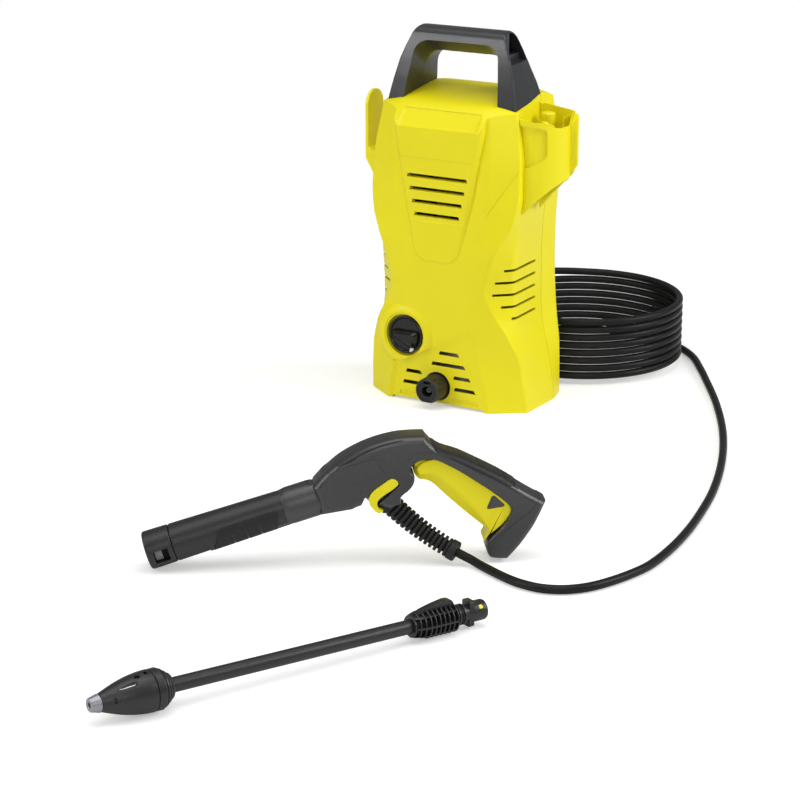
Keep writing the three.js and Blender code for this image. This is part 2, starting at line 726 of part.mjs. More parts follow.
// Plates inside the shells that hold the motor, and pads under the pump
const cradles = () => {
  const all = [];
  const within = bodyLoft(HOUSING_WALL / 2);
  for (const z of [LOW_CRADLE_Z, HIGH_CRADLE_Z]) {
    const w = BASE_HALF_WIDTH;
    const sheet = box(-w, w, -FRONT_DEPTH, REAR_DEPTH, z, z + CRADLE_THICKNESS);
    const held = STATOR_RADIUS + GAP;
    const hole = rod('z', held, z - OVERRUN, z + CRADLE_THICKNESS + OVERRUN, motorX, motorY, held, 24);
    all.push(sheet.subtract(hole).intersect(within));
  }
  const floor = FLOOR_RAISE + FLOOR_THICKNESS;
  for (const [sx, sy] of [[1, 1], [1, -1], [-1, 1], [-1, -1]]) {
    const x = DRIVE_X + (sx * PUMP_HEAD_RADIUS) / 2;
    const y = DRIVE_Y + (sy * PUMP_HEAD_RADIUS) / 2;
    const half = PUMP_HEAD_RADIUS / 6;
    all.push(box(x - half, x + half, y - half, y + half, floor - GAP, PUMP_FOOT_Z - GAP));
  }
  const stand = DRIVE_Y + PUMP_HEAD_RADIUS;
  const high = PUMP_FOOT_Z - GAP;
  const half = PUMP_HEAD_RADIUS / 6;
  all.push(box(DRIVE_X - half, DRIVE_X + half, SEAM_Y + GAP, SEAM_Y + half, floor - GAP, high).add(
    box(DRIVE_X - half, DRIVE_X + half, stand - half, SEAM_Y + half, high - FLOOR_RAISE, high)));
  return all;
};

// The two housing shells come from one hollow body, parted at the seam
const housing = () => {
  const outer = bodyLoft(0).add(frontPanel()).intersect(crown(0));
  const bossCone = rod('y', BOSS_RIM_RADIUS, -BOSS_FRONT, -PANEL_ROOT, SWITCH_X, SWITCH_Z, BOSS_BASE_RADIUS, 28);
  const floor = box(-HOLDER_REACH, HOLDER_REACH, -FRONT_DEPTH * 2, REAR_DEPTH * 2,
    FLOOR_RAISE + FLOOR_THICKNESS, SHOULDER_HEIGHT * 2);
  const space = bodyLoft(HOUSING_WALL).intersect(crown(HOUSING_WALL)).intersect(floor);
  const under = bodyLoft(RIM_WIDTH).intersect(
    box(-HOLDER_REACH, HOLDER_REACH, -FRONT_DEPTH * 2, REAR_DEPTH * 2, -OVERRUN, FLOOR_RAISE));
  const frontLip = box(-FRONT_LIP_HALF_WIDTH, FRONT_LIP_HALF_WIDTH, -FRONT_DEPTH - OVERRUN, 0, -OVERRUN, FLOOR_RAISE);
  const rearLip = box(-REAR_LIP_HALF_WIDTH, REAR_LIP_HALF_WIDTH, 0, REAR_DEPTH + OVERRUN, -OVERRUN, FLOOR_RAISE);

  let hollow = outer.add(bossCone).subtract(space);
  hollow = union([hollow, ...cradles()]);
  const cup = rod('y', RECESS_RADIUS + HOUSING_WALL, -PANEL_ROOT - HOUSING_WALL, -RECESS_FLOOR + HOUSING_WALL,
    SWITCH_X, SWITCH_Z, RECESS_RADIUS + HOUSING_WALL, 28);
  hollow = hollow.add(cup);
  for (const [x, z] of screwPlaces) {
    const boss = rod('y', SCREW_BOSS_RADIUS, -FRONT_DEPTH, REAR_DEPTH - HOUSING_WALL, x, z, SCREW_BOSS_RADIUS, 10);
    hollow = hollow.add(boss.intersect(outer));
  }
  hollow = hollow.subtract(under).subtract(frontLip).subtract(rearLip);
  for (const [x, z] of screwPlaces) {
    const shank = SCREW_SHANK_RADIUS + GAP;
    const head = SCREW_HEAD_RADIUS + GAP;
    hollow = hollow.subtract(rod('y', shank, screwTipY - GAP, REAR_DEPTH, x, z, shank, 8));
    hollow = hollow.subtract(rod('y', head, screwHeadY - GAP, REAR_DEPTH + OVERRUN, x, z, head, 12));
  }
  hollow = hollow.subtract(rod('y', RECESS_RADIUS, -BOSS_FRONT - OVERRUN, -RECESS_FLOOR, SWITCH_X, SWITCH_Z,
    RECESS_RADIUS, 28));
  hollow = hollow.subtract(rod('y', SWITCH_SHAFT_RADIUS + GAP, -BOSS_FRONT, 0, SWITCH_X, SWITCH_Z));
  hollow = hollow.subtract(rod('y', OUTLET_HOLE_RADIUS, -FRONT_DEPTH - OVERRUN, -PANEL_ROOT + OVERRUN, 0, OUTLET_Z));
  hollow = hollow.subtract(rod('y', INLET_RADIUS + GAP, SEAM_Y, REAR_DEPTH + OVERRUN, DRIVE_X, INLET_Z));
  hollow = hollow.subtract(rod('y', GLAND_RADIUS + GAP, SEAM_Y, REAR_DEPTH + OVERRUN, GLAND_X, GLAND_Z));
  for (const cut of [...panelSlots(), ...grilleSlots(), ...sideVents()]) hollow = hollow.subtract(cut);

  const far = HOLDER_REACH * 2;
  const frontHalf = box(-far, far, -far, SEAM_Y - GAP / 2, -far, far * 2);
  const rearHalf = box(-far, far, SEAM_Y + GAP / 2, far, -far, far * 2);
  piece('front_housing', hollow.intersect(frontHalf), YELLOW);
  piece('rear_housing', hollow.intersect(rearHalf), YELLOW);
};

const housingScrews = () => {
  screwPlaces.forEach(([x, z], i) => {
    const shank = rod('y', SCREW_SHANK_RADIUS, screwTipY, screwHeadY, x, z, SCREW_SHANK_RADIUS, 8);
    const head = rod('y', SCREW_HEAD_RADIUS, screwHeadY, screwHeadY + SCREW_HEAD_HEIGHT, x, z, SCREW_HEAD_RADIUS, 12);
    piece(`housing_screw_${i + 1}`, shank.add(head), STEEL);
  });
};

// Handle levels as shares of its rise over the shoulder, foot depth and foot half width
// Columns: height, front, rear, half width at the front, half width at the rear
const handle_level_shares = [
  [-0.135, 1, 0.88, 1.01, 0.975],
  [0, 1, 0.84, 1, 0.965],
  [0.57, 0.55, 0.62, 0.89, 0.77],
  [0.83, 0.45, 0.45, 0.78, 0.7],
  [0.945, 0.36, 0.3, 0.715, 0.67],
  [1, 0.2, 0.05, 0.675, 0.65],
];

const handleLoft = (wall, beyond = 0) => {
  const rise = HANDLE_TOP_Z - SHOULDER_HEIGHT;
  const rings = handle_level_shares.map(([height, front, rear, halfFront, halfRear]) => {
    const z = SHOULDER_HEIGHT + height * rise - (height > 0.5 ? wall * height : 0);
    const y0 = -front * HANDLE_FOOT_FRONT + wall;
    const y1 = rear * HANDLE_FOOT_FRONT - wall;
    const x0 = halfFront * HANDLE_FOOT_HALF + beyond;
    const x1 = halfRear * HANDLE_FOOT_HALF + beyond;
    return [[x0, y0], [x1, y1], [-x1, y1], [-x0, y0]].map(([x, y]) => new THREE.Vector3(x, y, z));
  });
  return solid(loft(rings));
};

// Profile in y and z, pushed along x from x0 to x1
const bar = (points, x0, x1) => {
  const outline = new THREE.Shape(points.map(([y, z]) => new THREE.Vector2(y, z)));
  const g = new THREE.ExtrudeGeometry(outline, { depth: x1 - x0, bevelEnabled: false });
  const turn = new THREE.Matrix4().makeBasis(
    new THREE.Vector3(0, 1, 0), new THREE.Vector3(0, 0, 1), new THREE.Vector3(1, 0, 0));
  return solid(g.applyMatrix4(turn).translate(x0, 0, 0));
};

const carryHandle = () => {
  const foot = SHOULDER_HEIGHT - OVERRUN * 2;
  const lean = (HANDLE_OPENING_FOOT_HALF - HANDLE_OPENING_TOP_HALF) / (HANDLE_OPENING_TOP_Z - SHOULDER_HEIGHT);
  const footHalf = HANDLE_OPENING_FOOT_HALF + lean * OVERRUN * 2;
  const c = HANDLE_CORNER;
  const opening = [
    [-footHalf, foot - OVERRUN],
    [-HANDLE_OPENING_TOP_HALF, HANDLE_OPENING_TOP_Z - c],
    [-HANDLE_OPENING_TOP_HALF + c * 0.3, HANDLE_OPENING_TOP_Z - c * 0.3],
    [-HANDLE_OPENING_TOP_HALF + c, HANDLE_OPENING_TOP_Z],
    [HANDLE_OPENING_TOP_HALF - c, HANDLE_OPENING_TOP_Z],
    [HANDLE_OPENING_TOP_HALF - c * 0.3, HANDLE_OPENING_TOP_Z - c * 0.3],
    [HANDLE_OPENING_TOP_HALF, HANDLE_OPENING_TOP_Z - c],
    [footHalf, foot - OVERRUN],
  ];
  const deep = HANDLE_FOOT_FRONT + OVERRUN;
  let handle = handleLoft(0).subtract(slab(opening, -deep * 2, deep * 2));
  const flare = bar([
    [-deep, HANDLE_OPENING_TOP_Z - OVERRUN],
    [-HANDLE_FLARE_Y, HANDLE_OPENING_TOP_Z - OVERRUN],
    [-HANDLE_FLARE_Y, HANDLE_OPENING_TOP_Z],
    [-deep, HANDLE_FLARE_Z],
  ], -HANDLE_OPENING_TOP_HALF + c / 2, HANDLE_OPENING_TOP_HALF - c / 2);
  handle = handle.subtract(flare);
  const roof = handleLoft(HANDLE_WALL, OVERRUN);
  const pockets = [
    [HANDLE_OPENING_TOP_HALF + HANDLE_WALL, -deep, HANDLE_OPENING_TOP_Z - HANDLE_WALL],
    [HANDLE_TOP_HALF - HANDLE_POCKET_DEPTH, -HANDLE_FLARE_Y, HANDLE_OPENING_TOP_Z + HANDLE_WALL],
  ];
  for (const side of [1, -1]) {
    for (const [inner, front, floor] of pockets) {
      const ends = [side * inner, side * (HANDLE_FOOT_HALF + OVERRUN)];
      const window = box(Math.min(...ends), Math.max(...ends), front, deep, floor, HANDLE_TOP_Z);
      handle = handle.subtract(roof.intersect(window));
    }
  }
  for (let i = 0; i < SCALLOP_COUNT; i += 1) {
    const x = (i - (SCALLOP_COUNT - 1) / 2) * SCALLOP_PITCH;
    const z = HANDLE_OPENING_TOP_Z - SCALLOP_RADIUS + SCALLOP_DEPTH;
    handle = handle.subtract(rod('y', SCALLOP_RADIUS, -deep, deep, x, z, SCALLOP_RADIUS, 24));
  }
  handle = handle.subtract(crown(-GAP));
  piece('carry_handle', handle, DARK_GREY);
};

// Holster plan at a wall distance, its rim heights given for each corner
const holsterRing = (wall, top) => {
  const reach = HOLDER_REACH - wall;
  const corners = [
    [HOLDER_ROOT_X, HOLSTER_FRONT_Y + wall, HOLSTER_RIM_Z],
    [BASE_HALF_WIDTH, HOLSTER_FRONT_Y + wall, HOLSTER_RIM_Z],
    [reach - HOLDER_WALL * 2, HOLSTER_CORNER_Y + wall - HOLDER_WALL, HOLSTER_CORNER_TOP_Z],
    [reach, HOLSTER_CORNER_Y + wall + HOLDER_WALL, HOLSTER_CORNER_TOP_Z],
    [reach, HOLSTER_REAR_Y - wall, HOLSTER_RIM_Z],
    [reach - HOLDER_WALL * 4, HOLSTER_BACK_Y - wall, HOLSTER_RIM_Z],
    [HOLDER_ROOT_X, HOLSTER_BACK_Y - wall, HOLSTER_BACK_TOP_Z],
  ];
  const low = HOLSTER_SLANT_ROOT_Z - HOLDER_WALL;
  return corners.map(([x, y, z]) => new THREE.Vector3(x, y, top ? z + (wall > 0 ? OVERRUN : 0) : low - wall));
};

const bodySleeve = () => bodyLoft(-GAP);

const gunHolster = () => {
  const outer = solid(loft([holsterRing(0, false), holsterRing(0, true)]));
  const inner = solid(loft([holsterRing(HOLDER_WALL, false), holsterRing(HOLDER_WALL, true)]));
  const slantRun = HOLDER_REACH - BASE_HALF_WIDTH * 0.86;
  const slope = (HOLSTER_SLANT_TOP_Z - HOLSTER_SLANT_ROOT_Z) / slantRun;
  const x0 = HOLDER_ROOT_X - OVERRUN;
  const x1 = HOLDER_REACH + OVERRUN;
  const zAt = (x) => HOLSTER_SLANT_ROOT_Z + (x - BASE_HALF_WIDTH * 0.86) * slope;
  const cutRing = (y, rise) => [[x0, 0], [x1, 0], [x1, zAt(x1) + rise], [x0, zAt(x0) + rise]].map(
    ([x, z]) => new THREE.Vector3(x, y, z));
  const below = solid(loft([cutRing(HOLSTER_FRONT_Y - OVERRUN, 0), cutRing(HOLSTER_CORNER_Y, 0),
    cutRing(HOLSTER_REAR_Y, HOLSTER_SLANT_RISE), cutRing(HOLSTER_BACK_Y + OVERRUN, HOLSTER_SLANT_RISE)]));
  const rib = box(BASE_HALF_WIDTH - OVERRUN, HOLDER_REACH - HOLDER_WALL / 2, HOLSTER_RIB_Y, HOLSTER_RIB_Y + HOLDER_WALL,
    HOLSTER_SLANT_ROOT_Z, HOLSTER_SLANT_TOP_Z + HOLDER_WALL * 4);
  const holster = outer.subtract(inner).add(rib).subtract(below).subtract(bodySleeve());
  piece('gun_holster', holster, YELLOW);
};

const cableHook = () => {
  const reach = -HOOK_REACH;
  const mid = (HOOK_FRONT_Y + HOOK_REAR_Y) / 2;
  const radius = (HOOK_REAR_Y - HOOK_FRONT_Y) / 2;
  const tab = [[mid - radius, HOOK_ARM_TOP_Z - HOOK_ARM_THICKNESS]];
  tab.push([mid + radius, HOOK_ARM_TOP_Z - HOOK_ARM_THICKNESS]);
  for (let i = 0; i <= 8; i += 1) {
    const angle = (Math.PI * i) / 8;
    tab.push([mid + radius * Math.cos(angle), HOOK_TOP_Z - radius + radius * Math.sin(angle)]);
  }
  const upright = bar(tab, reach, reach + HOOK_PLATE);
  const arm = slab([
    [reach, HOOK_ARM_TOP_Z],
    [reach, HOOK_ARM_TOP_Z - HOOK_ARM_THICKNESS],
    [-HOLDER_ROOT_X, HOOK_ARM_ROOT_Z - HOOK_ARM_THICKNESS * 2],
    [-HOLDER_ROOT_X, HOOK_ARM_ROOT_Z],
  ], HOOK_FRONT_Y, HOOK_REAR_Y);
  piece('cable_hook', upright.add(arm).subtract(bodySleeve()), YELLOW);
};

const switchParts = () => {
  const back = -RECESS_FLOOR - GAP;
  const disc = rod('y', KNOB_RADIUS, -KNOB_FACE, back, SWITCH_X, SWITCH_Z, KNOB_RADIUS, 28);
  const half = KNOB_POINTER_WIDTH / 2;
  const pointer = slab([
    [SWITCH_X - half, SWITCH_Z + KNOB_RADIUS * 0.75],
    [SWITCH_X + half, SWITCH_Z + KNOB_RADIUS * 0.75],
    [SWITCH_X + half / 2, SWITCH_Z - KNOB_RADIUS * 0.9],
    [SWITCH_X - half / 2, SWITCH_Z - KNOB_RADIUS * 0.9],
  ], -KNOB_FRONT, -KNOB_FACE + HOUSING_WALL);
  const bodyFront = -RECESS_FLOOR + HOUSING_WALL + GAP;
  const shaft = rod('y', SWITCH_SHAFT_RADIUS, -KNOB_FACE, bodyFront - GAP, SWITCH_X, SWITCH_Z);
  piece('switch_knob', union([disc, pointer, shaft]), GLOSS_BLACK);
  const s = SWITCH_BODY_SIDE / 2;
  piece('switch_body', box(SWITCH_X - s, SWITCH_X + s, bodyFront, bodyFront + SWITCH_BODY_DEPTH,
    SWITCH_Z - s, SWITCH_Z + s), BLACK);
};

const outletParts = () => {
  const reach = OUTLET_KEY_REACH;
  const w = OUTLET_KEY_WIDTH / 2;
  const front = -OUTLET_FRONT - OVERRUN;
  const floor = -OUTLET_FRONT + OUTLET_BORE_DEPTH;
  let socket = rod('y', OUTLET_RADIUS, -OUTLET_FRONT, -OUTLET_BACK, 0, OUTLET_Z, OUTLET_RADIUS, 24);
  socket = socket.subtract(rod('y', OUTLET_BORE_RADIUS, front, floor, 0, OUTLET_Z, OUTLET_BORE_RADIUS, 16));
  socket = socket.subtract(box(-w, w, front, floor, OUTLET_Z - reach, OUTLET_Z + reach));
  const port = PUMP_PORT_RADIUS / 2;
  socket = socket.subtract(rod('y', port, floor - OVERRUN, 0, 0, OUTLET_Z, port, 16));
  piece('outlet_socket', socket, DARK_GREY);
  const outer = OUTLET_HOLE_RADIUS - GAP;
  const inner = OUTLET_RADIUS + GAP;
  const y0 = -FRONT_DEPTH + HOUSING_WALL / 2;
  const ring = rod('y', outer, y0, y0 + OUTLET_RING_DEPTH, 0, OUTLET_Z, outer, 24).subtract(
    rod('y', inner, y0 - OVERRUN, y0 + OUTLET_RING_DEPTH + OVERRUN, 0, OUTLET_Z, inner, 24));
  piece('outlet_ring', ring, BLACK);
};

const inletY = DRIVE_Y + PUMP_HEAD_RADIUS + GAP;

const pump = () => {
  let head = rod('z', PUMP_HEAD_RADIUS, PUMP_FOOT_Z, PUMP_HEAD_TOP_Z, DRIVE_X, DRIVE_Y);
  head = head.add(rod('y', PUMP_PORT_RADIUS, -OUTLET_BACK + GAP, DRIVE_Y, 0, OUTLET_Z));
  head = head.subtract(rod('y', PUMP_PORT_RADIUS / 2, -OUTLET_BACK - OVERRUN, DRIVE_Y, 0, OUTLET_Z));
  const port = INLET_BORE;
  head = head.subtract(rod('y', port, DRIVE_Y + PUMP_HEAD_RADIUS / 2, DRIVE_Y + PUMP_HEAD_RADIUS + OVERRUN,
    DRIVE_X, INLET_Z));
  piece('pump_head', head, ALUMINIUM);

  let block = rod('z', BLOCK_RADIUS, PUMP_HEAD_TOP_Z + GAP, BLOCK_TOP_Z, DRIVE_X, DRIVE_Y);
  for (let i = 0; i < PISTON_COUNT; i += 1) {
    const angle = (2 * Math.PI * i) / PISTON_COUNT;
    const x = DRIVE_X + PISTON_CIRCLE * Math.cos(angle);
    const y = DRIVE_Y + PISTON_CIRCLE * Math.sin(angle);
    block = block.subtract(rod('z', PISTON_RADIUS + GAP, PISTON_FOOT_Z - PISTON_STROKE - GAP, BLOCK_TOP_Z + OVERRUN, x, y,
      PISTON_RADIUS + GAP, 16));
    piece(`piston_${i + 1}`, rod('z', PISTON_RADIUS, PISTON_FOOT_Z, PISTON_TOP_Z, x, y, PISTON_RADIUS, 16), STEEL);
  }
  piece('cylinder_block', block, BRASS);
};

// Gear outline with straight-flanked teeth about a centre
const gear = (teeth, x, y, z0, z1, phase) => {
  const pitch = (GEAR_MODULE * teeth) / 2;
  const step = (2 * Math.PI) / teeth;
  const tip = pitch + GEAR_MODULE * 0.75;
  const foot = pitch - GEAR_MODULE * 1.1;
  const points = [];
  for (let i = 0; i < teeth; i += 1) {
    const middle = i * step + phase;
    const half = step * GEAR_BACKLASH_SHARE / 2;
    const flank = [[foot, -half * 1.6], [tip, -half * 0.5], [tip, half * 0.5], [foot, half * 1.6]];
    for (const [r, a] of flank) {
      points.push([x + r * Math.cos(middle + a), y + r * Math.sin(middle + a)]);
    }
  }
  return plate(points, z0, z1);
};

const gearTrain = () => {
  const caseRod = (radius, z0, z1) => rod('z', radius, z0, z1, DRIVE_X, DRIVE_Y, radius, 24);
  let gearCase = caseRod(CASE_RADIUS, BLOCK_TOP_Z + GAP, CASE_TOP_Z);
  gearCase = gearCase.subtract(caseRod(CASE_RADIUS - CASE_WALL, BLOCK_TOP_Z - OVERRUN, CASE_TOP_Z - CASE_WALL * 2));
  gearCase = gearCase.add(caseRod(CASE_RADIUS - CASE_WALL / 2, BLOCK_TOP_Z + GAP, BLOCK_TOP_Z + CASE_WALL).subtract(
    caseRod(BLOCK_RADIUS - CASE_WALL, BLOCK_TOP_Z - OVERRUN, BLOCK_TOP_Z + OVERRUN)));
  gearCase = gearCase.subtract(rod('z', DRIVE_SHAFT_RADIUS + GAP, GEAR_TOP_Z, CASE_TOP_Z - CASE_WALL / 2,
    DRIVE_X, DRIVE_Y));
  gearCase = gearCase.subtract(rod('z', MOTOR_SHAFT_RADIUS + GAP, GEAR_TOP_Z, CASE_TOP_Z + OVERRUN, motorX, motorY));
  const seat = rod('z', STATOR_RADIUS, CASE_TOP_Z - CASE_WALL, CASE_TOP_Z, motorX, motorY).subtract(
    rod('z', MOTOR_SHAFT_RADIUS + GAP, GEAR_TOP_Z, CASE_TOP_Z + OVERRUN, motorX, motorY)).subtract(
    rod('z', DRIVE_SHAFT_RADIUS + GAP, GEAR_TOP_Z, CASE_TOP_Z - CASE_WALL / 2, DRIVE_X, DRIVE_Y));
  piece('gear_case', gearCase.add(seat), ALUMINIUM);

  const r = SWASH_RADIUS;
  const wedge = slab([
    [DRIVE_X - r, SWASH_LOW_Z],
    [DRIVE_X + r, SWASH_HIGH_Z],
    [DRIVE_X + r, SWASH_TOP_Z],
    [DRIVE_X - r, SWASH_TOP_Z],
  ], DRIVE_Y - r, DRIVE_Y + r).intersect(caseRod(r, SWASH_LOW_Z - OVERRUN, SWASH_TOP_Z + OVERRUN));
  const shaft = rod('z', DRIVE_SHAFT_RADIUS, SWASH_HIGH_Z, CASE_TOP_Z - CASE_WALL / 2 - GAP, DRIVE_X, DRIVE_Y);
  piece('swash_plate', wedge.add(shaft), STEEL);

  const wheel = gear(GEAR_TEETH, DRIVE_X, DRIVE_Y, GEAR_FOOT_Z, GEAR_TOP_Z, Math.PI / 2);
  piece('drive_gear', wheel.subtract(rod('z', DRIVE_SHAFT_RADIUS + GAP, 0, SHOULDER_HEIGHT, DRIVE_X, DRIVE_Y)), STEEL);
  const half = Math.PI / PINION_TEETH;
  const pinion = gear(PINION_TEETH, motorX, motorY, GEAR_FOOT_Z, GEAR_TOP_Z, -Math.PI / 2 + half);
  piece('motor_pinion', pinion.subtract(rod('z', MOTOR_SHAFT_RADIUS * 0.7 + GAP, 0, SHOULDER_HEIGHT, motorX, motorY)),
    STEEL);
};

const motor = () => {
  const at = (radius, z0, z1, sides = 20) => rod('z', radius, z0, z1, motorX, motorY, radius, sides);
  const stator = at(STATOR_RADIUS, CASE_TOP_Z + GAP, STATOR_TOP_Z, 24).subtract(
    at(STATOR_BORE, 0, SHOULDER_HEIGHT));
  piece('motor_stator', stator, STEEL);

  const shaft = at(MOTOR_SHAFT_RADIUS, GEAR_TOP_Z + GAP, MOTOR_SHAFT_TOP_Z, 20);
  const stub = at(MOTOR_SHAFT_RADIUS * 0.7, GEAR_FOOT_Z, GEAR_TOP_Z + OVERRUN, 20);
  let core = at(ROTOR_RADIUS, ROTOR_FOOT_Z, ROTOR_TOP_Z);
  const slots = 8;
  for (let i = 0; i < slots; i += 1) {
    const angle = (2 * Math.PI * i) / slots;
    const x = motorX + ROTOR_RADIUS * Math.cos(angle);
    const y = motorY + ROTOR_RADIUS * Math.sin(angle);
    core = core.subtract(rod('z', MOTOR_SHAFT_RADIUS / 2, 0, SHOULDER_HEIGHT, x, y, MOTOR_SHAFT_RADIUS / 2, 8));
  }
  piece('motor_armature', union([shaft, stub, core, at(COMMUTATOR_RADIUS, COMMUTATOR_FOOT_Z, COMMUTATOR_TOP_Z)]),
    COPPER);

  const plateFoot = BRACKET_TOP_Z - BRACKET_PLATE;
  let bracket = at(STATOR_RADIUS, STATOR_TOP_Z + GAP, BRACKET_TOP_Z, 24).subtract(
    at(BRACKET_BORE, 0, plateFoot)).subtract(at(MOTOR_SHAFT_RADIUS + GAP, 0, SHOULDER_HEIGHT));
  const half = BRUSH_WIDTH / 2;
  const reach = STATOR_RADIUS - HOUSING_WALL;
  for (const [side, name] of [[-1, 'left'], [1, 'right']]) {
    const inner = motorX + side * (COMMUTATOR_RADIUS + GAP);
    const outer = motorX + side * reach;
    const x0 = Math.min(inner, outer);
    const x1 = Math.max(inner, outer);
    const clear = box(x0 - (side < 0 ? OVERRUN : 0), x1 + (side > 0 ? OVERRUN : 0), motorY - half - GAP,
      motorY + half + GAP, BRUSH_FOOT_Z - GAP, BRUSH_TOP_Z + GAP);
    bracket = bracket.subtract(clear);
    piece(`brush_holder_${name}`, box(x0, x1, motorY - half, motorY + half, BRUSH_FOOT_Z, BRUSH_TOP_Z), BRASS);
  }
  piece('motor_end_bracket', bracket, BLACK);

  let fan = at(FAN_HUB_RADIUS, FAN_FOOT_Z, FAN_TOP_Z).add(at(FAN_RADIUS, FAN_FOOT_Z, FAN_FOOT_Z + FAN_BLADE));
  for (let i = 0; i < FAN_BLADES; i += 1) {
    const blade = new THREE.BoxGeometry(FAN_RADIUS - FAN_HUB_RADIUS / 2, FAN_BLADE, FAN_TOP_Z - FAN_FOOT_Z);
    blade.translate((FAN_RADIUS + FAN_HUB_RADIUS / 2) / 2, 0, (FAN_TOP_Z + FAN_FOOT_Z) / 2);
    blade.rotateZ((2 * Math.PI * i) / FAN_BLADES).translate(motorX, motorY, 0);
    fan = fan.add(solid(blade));
  }
  piece('cooling_fan', fan.subtract(at(MOTOR_SHAFT_RADIUS + GAP, 0, SHOULDER_HEIGHT, 20)), BLACK);
};

const smallFittings = () => {
  const shelf = HIGH_CRADLE_Z + CRADLE_THICKNESS + GAP;
  piece('capacitor', rod('z', CAPACITOR_RADIUS, shelf, shelf + CAPACITOR_HEIGHT, CAPACITOR_X, CAPACITOR_Y),
    CLEAR_GREY);
  const side = DRIVE_X - BLOCK_RADIUS - GAP;
  const half = PRESSURE_SWITCH_WIDTH / 2;
  piece('pressure_switch', box(side - PRESSURE_SWITCH_LENGTH, side, DRIVE_Y - half, DRIVE_Y + half,
    PRESSURE_SWITCH_FOOT_Z, PRESSURE_SWITCH_TOP_Z), BLACK);

  const tube = (radius, y0, y1) => rod('y', radius, y0, y1, DRIVE_X, INLET_Z);
  const inlet = union([
    tube(INLET_RADIUS, inletY, INLET_REAR),
    tube(INLET_FLANGE, REAR_DEPTH + GAP, REAR_DEPTH + HOUSING_WALL),
    tube(INLET_THREAD_RADIUS, REAR_DEPTH + HOUSING_WALL * 2, INLET_REAR - HOUSING_WALL),
  ]).subtract(tube(INLET_BORE, inletY - OVERRUN, INLET_REAR + OVERRUN));
  piece('water_inlet', inlet, DARK_GREY);
  const sieve = turned([[0, 0], [0, INLET_BORE - GAP], [SIEVE_LENGTH, INLET_BORE / 3], [SIEVE_LENGTH, 0]], 20);
  sieve.rotateZ(-Math.PI / 2).translate(DRIVE_X, INLET_REAR - HOUSING_WALL, INLET_Z);
  piece('inlet_sieve', sieve, CLEAR_GREY);

  const grip = (radius, y0, y1, end = radius) => rod('y', radius, y0, y1, GLAND_X, GLAND_Z, end, 16);
  const gland = union([
    grip(GLAND_RADIUS, REAR_DEPTH - HOUSING_WALL * 2, REAR_DEPTH + HOUSING_WALL),
    grip(GLAND_FLANGE, REAR_DEPTH + GAP, REAR_DEPTH + HOUSING_WALL),
    grip(GLAND_RADIUS, REAR_DEPTH + GAP, GLAND_REAR, GLAND_BORE * 1.7),
  ]).subtract(grip(GLAND_BORE, 0, GLAND_REAR + OVERRUN));
  piece('cable_gland', gland, RUBBER);
};

// Outline of the gun's dark shells, as shares of its length and height
const gun_outline_shares = [
  [0.391, 0.621],
  [0.433, 0.754],
  [0.471, 0.842],
  [0.522, 0.92],
  [0.572, 0.969],
  [0.623, 0.996],
  [0.686, 1],
  [0.704, 0.937],
  [0.728, 0.885],
  [0.776, 0.835],
  [0.879, 0.679],
  [0.944, 0.557],
  [1, 0.46],
  [0.971, 0.275],
  [0.933, 0.114],
  [0.896, 0.003],
  [0.85, 0.028],
  [0.84, 0.085],
  [0.853, 0.16],
  [0.873, 0.225],
  [0.907, 0.327],
  [0.908, 0.37],
  [0.894, 0.425],
  [0.82, 0.551],
  [0.743, 0.69],
  [0.696, 0.773],
  [0.674, 0.79],
  [0.645, 0.765],
  [0.633, 0.725],
  [0.642, 0.66],
  [0.6436, 0.603],
  [0.646, 0.525],
  [0.623, 0.443],
  [0.6, 0.406],
  [0.5517, 0.45],
  [0.5236, 0.445],
  [0.5, 0.417],
  [0.414, 0.38],
];

const gunOutline = () => gun_outline_shares.map(([x, z]) => [x * GUN_LENGTH, z * GUN_HEIGHT]);

const barrelPose = () => new THREE.Matrix4().makeTranslation(BARREL_X, 0, BARREL_Z).multiply(
  new THREE.Matrix4().makeRotationY(-THREE.MathUtils.degToRad(BARREL_PITCH_DEG)));

const couplingPose = () => new THREE.Matrix4().makeTranslation(COUPLING_X, 0, COUPLING_Z).multiply(
  new THREE.Matrix4().makeRotationY(-THREE.MathUtils.degToRad(COUPLING_PITCH_DEG)));

const posed = (geometry, pose) => solid(geometry.clone().applyMatrix4(pose));
const tubeX = (radius, x0, x1, end = radius, sides = 20) => turned([[x0, 0], [x0, radius], [x1, end], [x1, 0]], sides);
const blockX = (x0, x1, y0, y1, z0, z1) => {
  const g = new THREE.BoxGeometry(x1 - x0, y1 - y0, z1 - z0);
  return g.translate((x0 + x1) / 2, (y0 + y1) / 2, (z0 + z1) / 2);
};

const barrelRadiusAt = (x) => BARREL_MOUTH_RADIUS + ((BARREL_END_RADIUS - BARREL_MOUTH_RADIUS) * x) / BARREL_LENGTH;

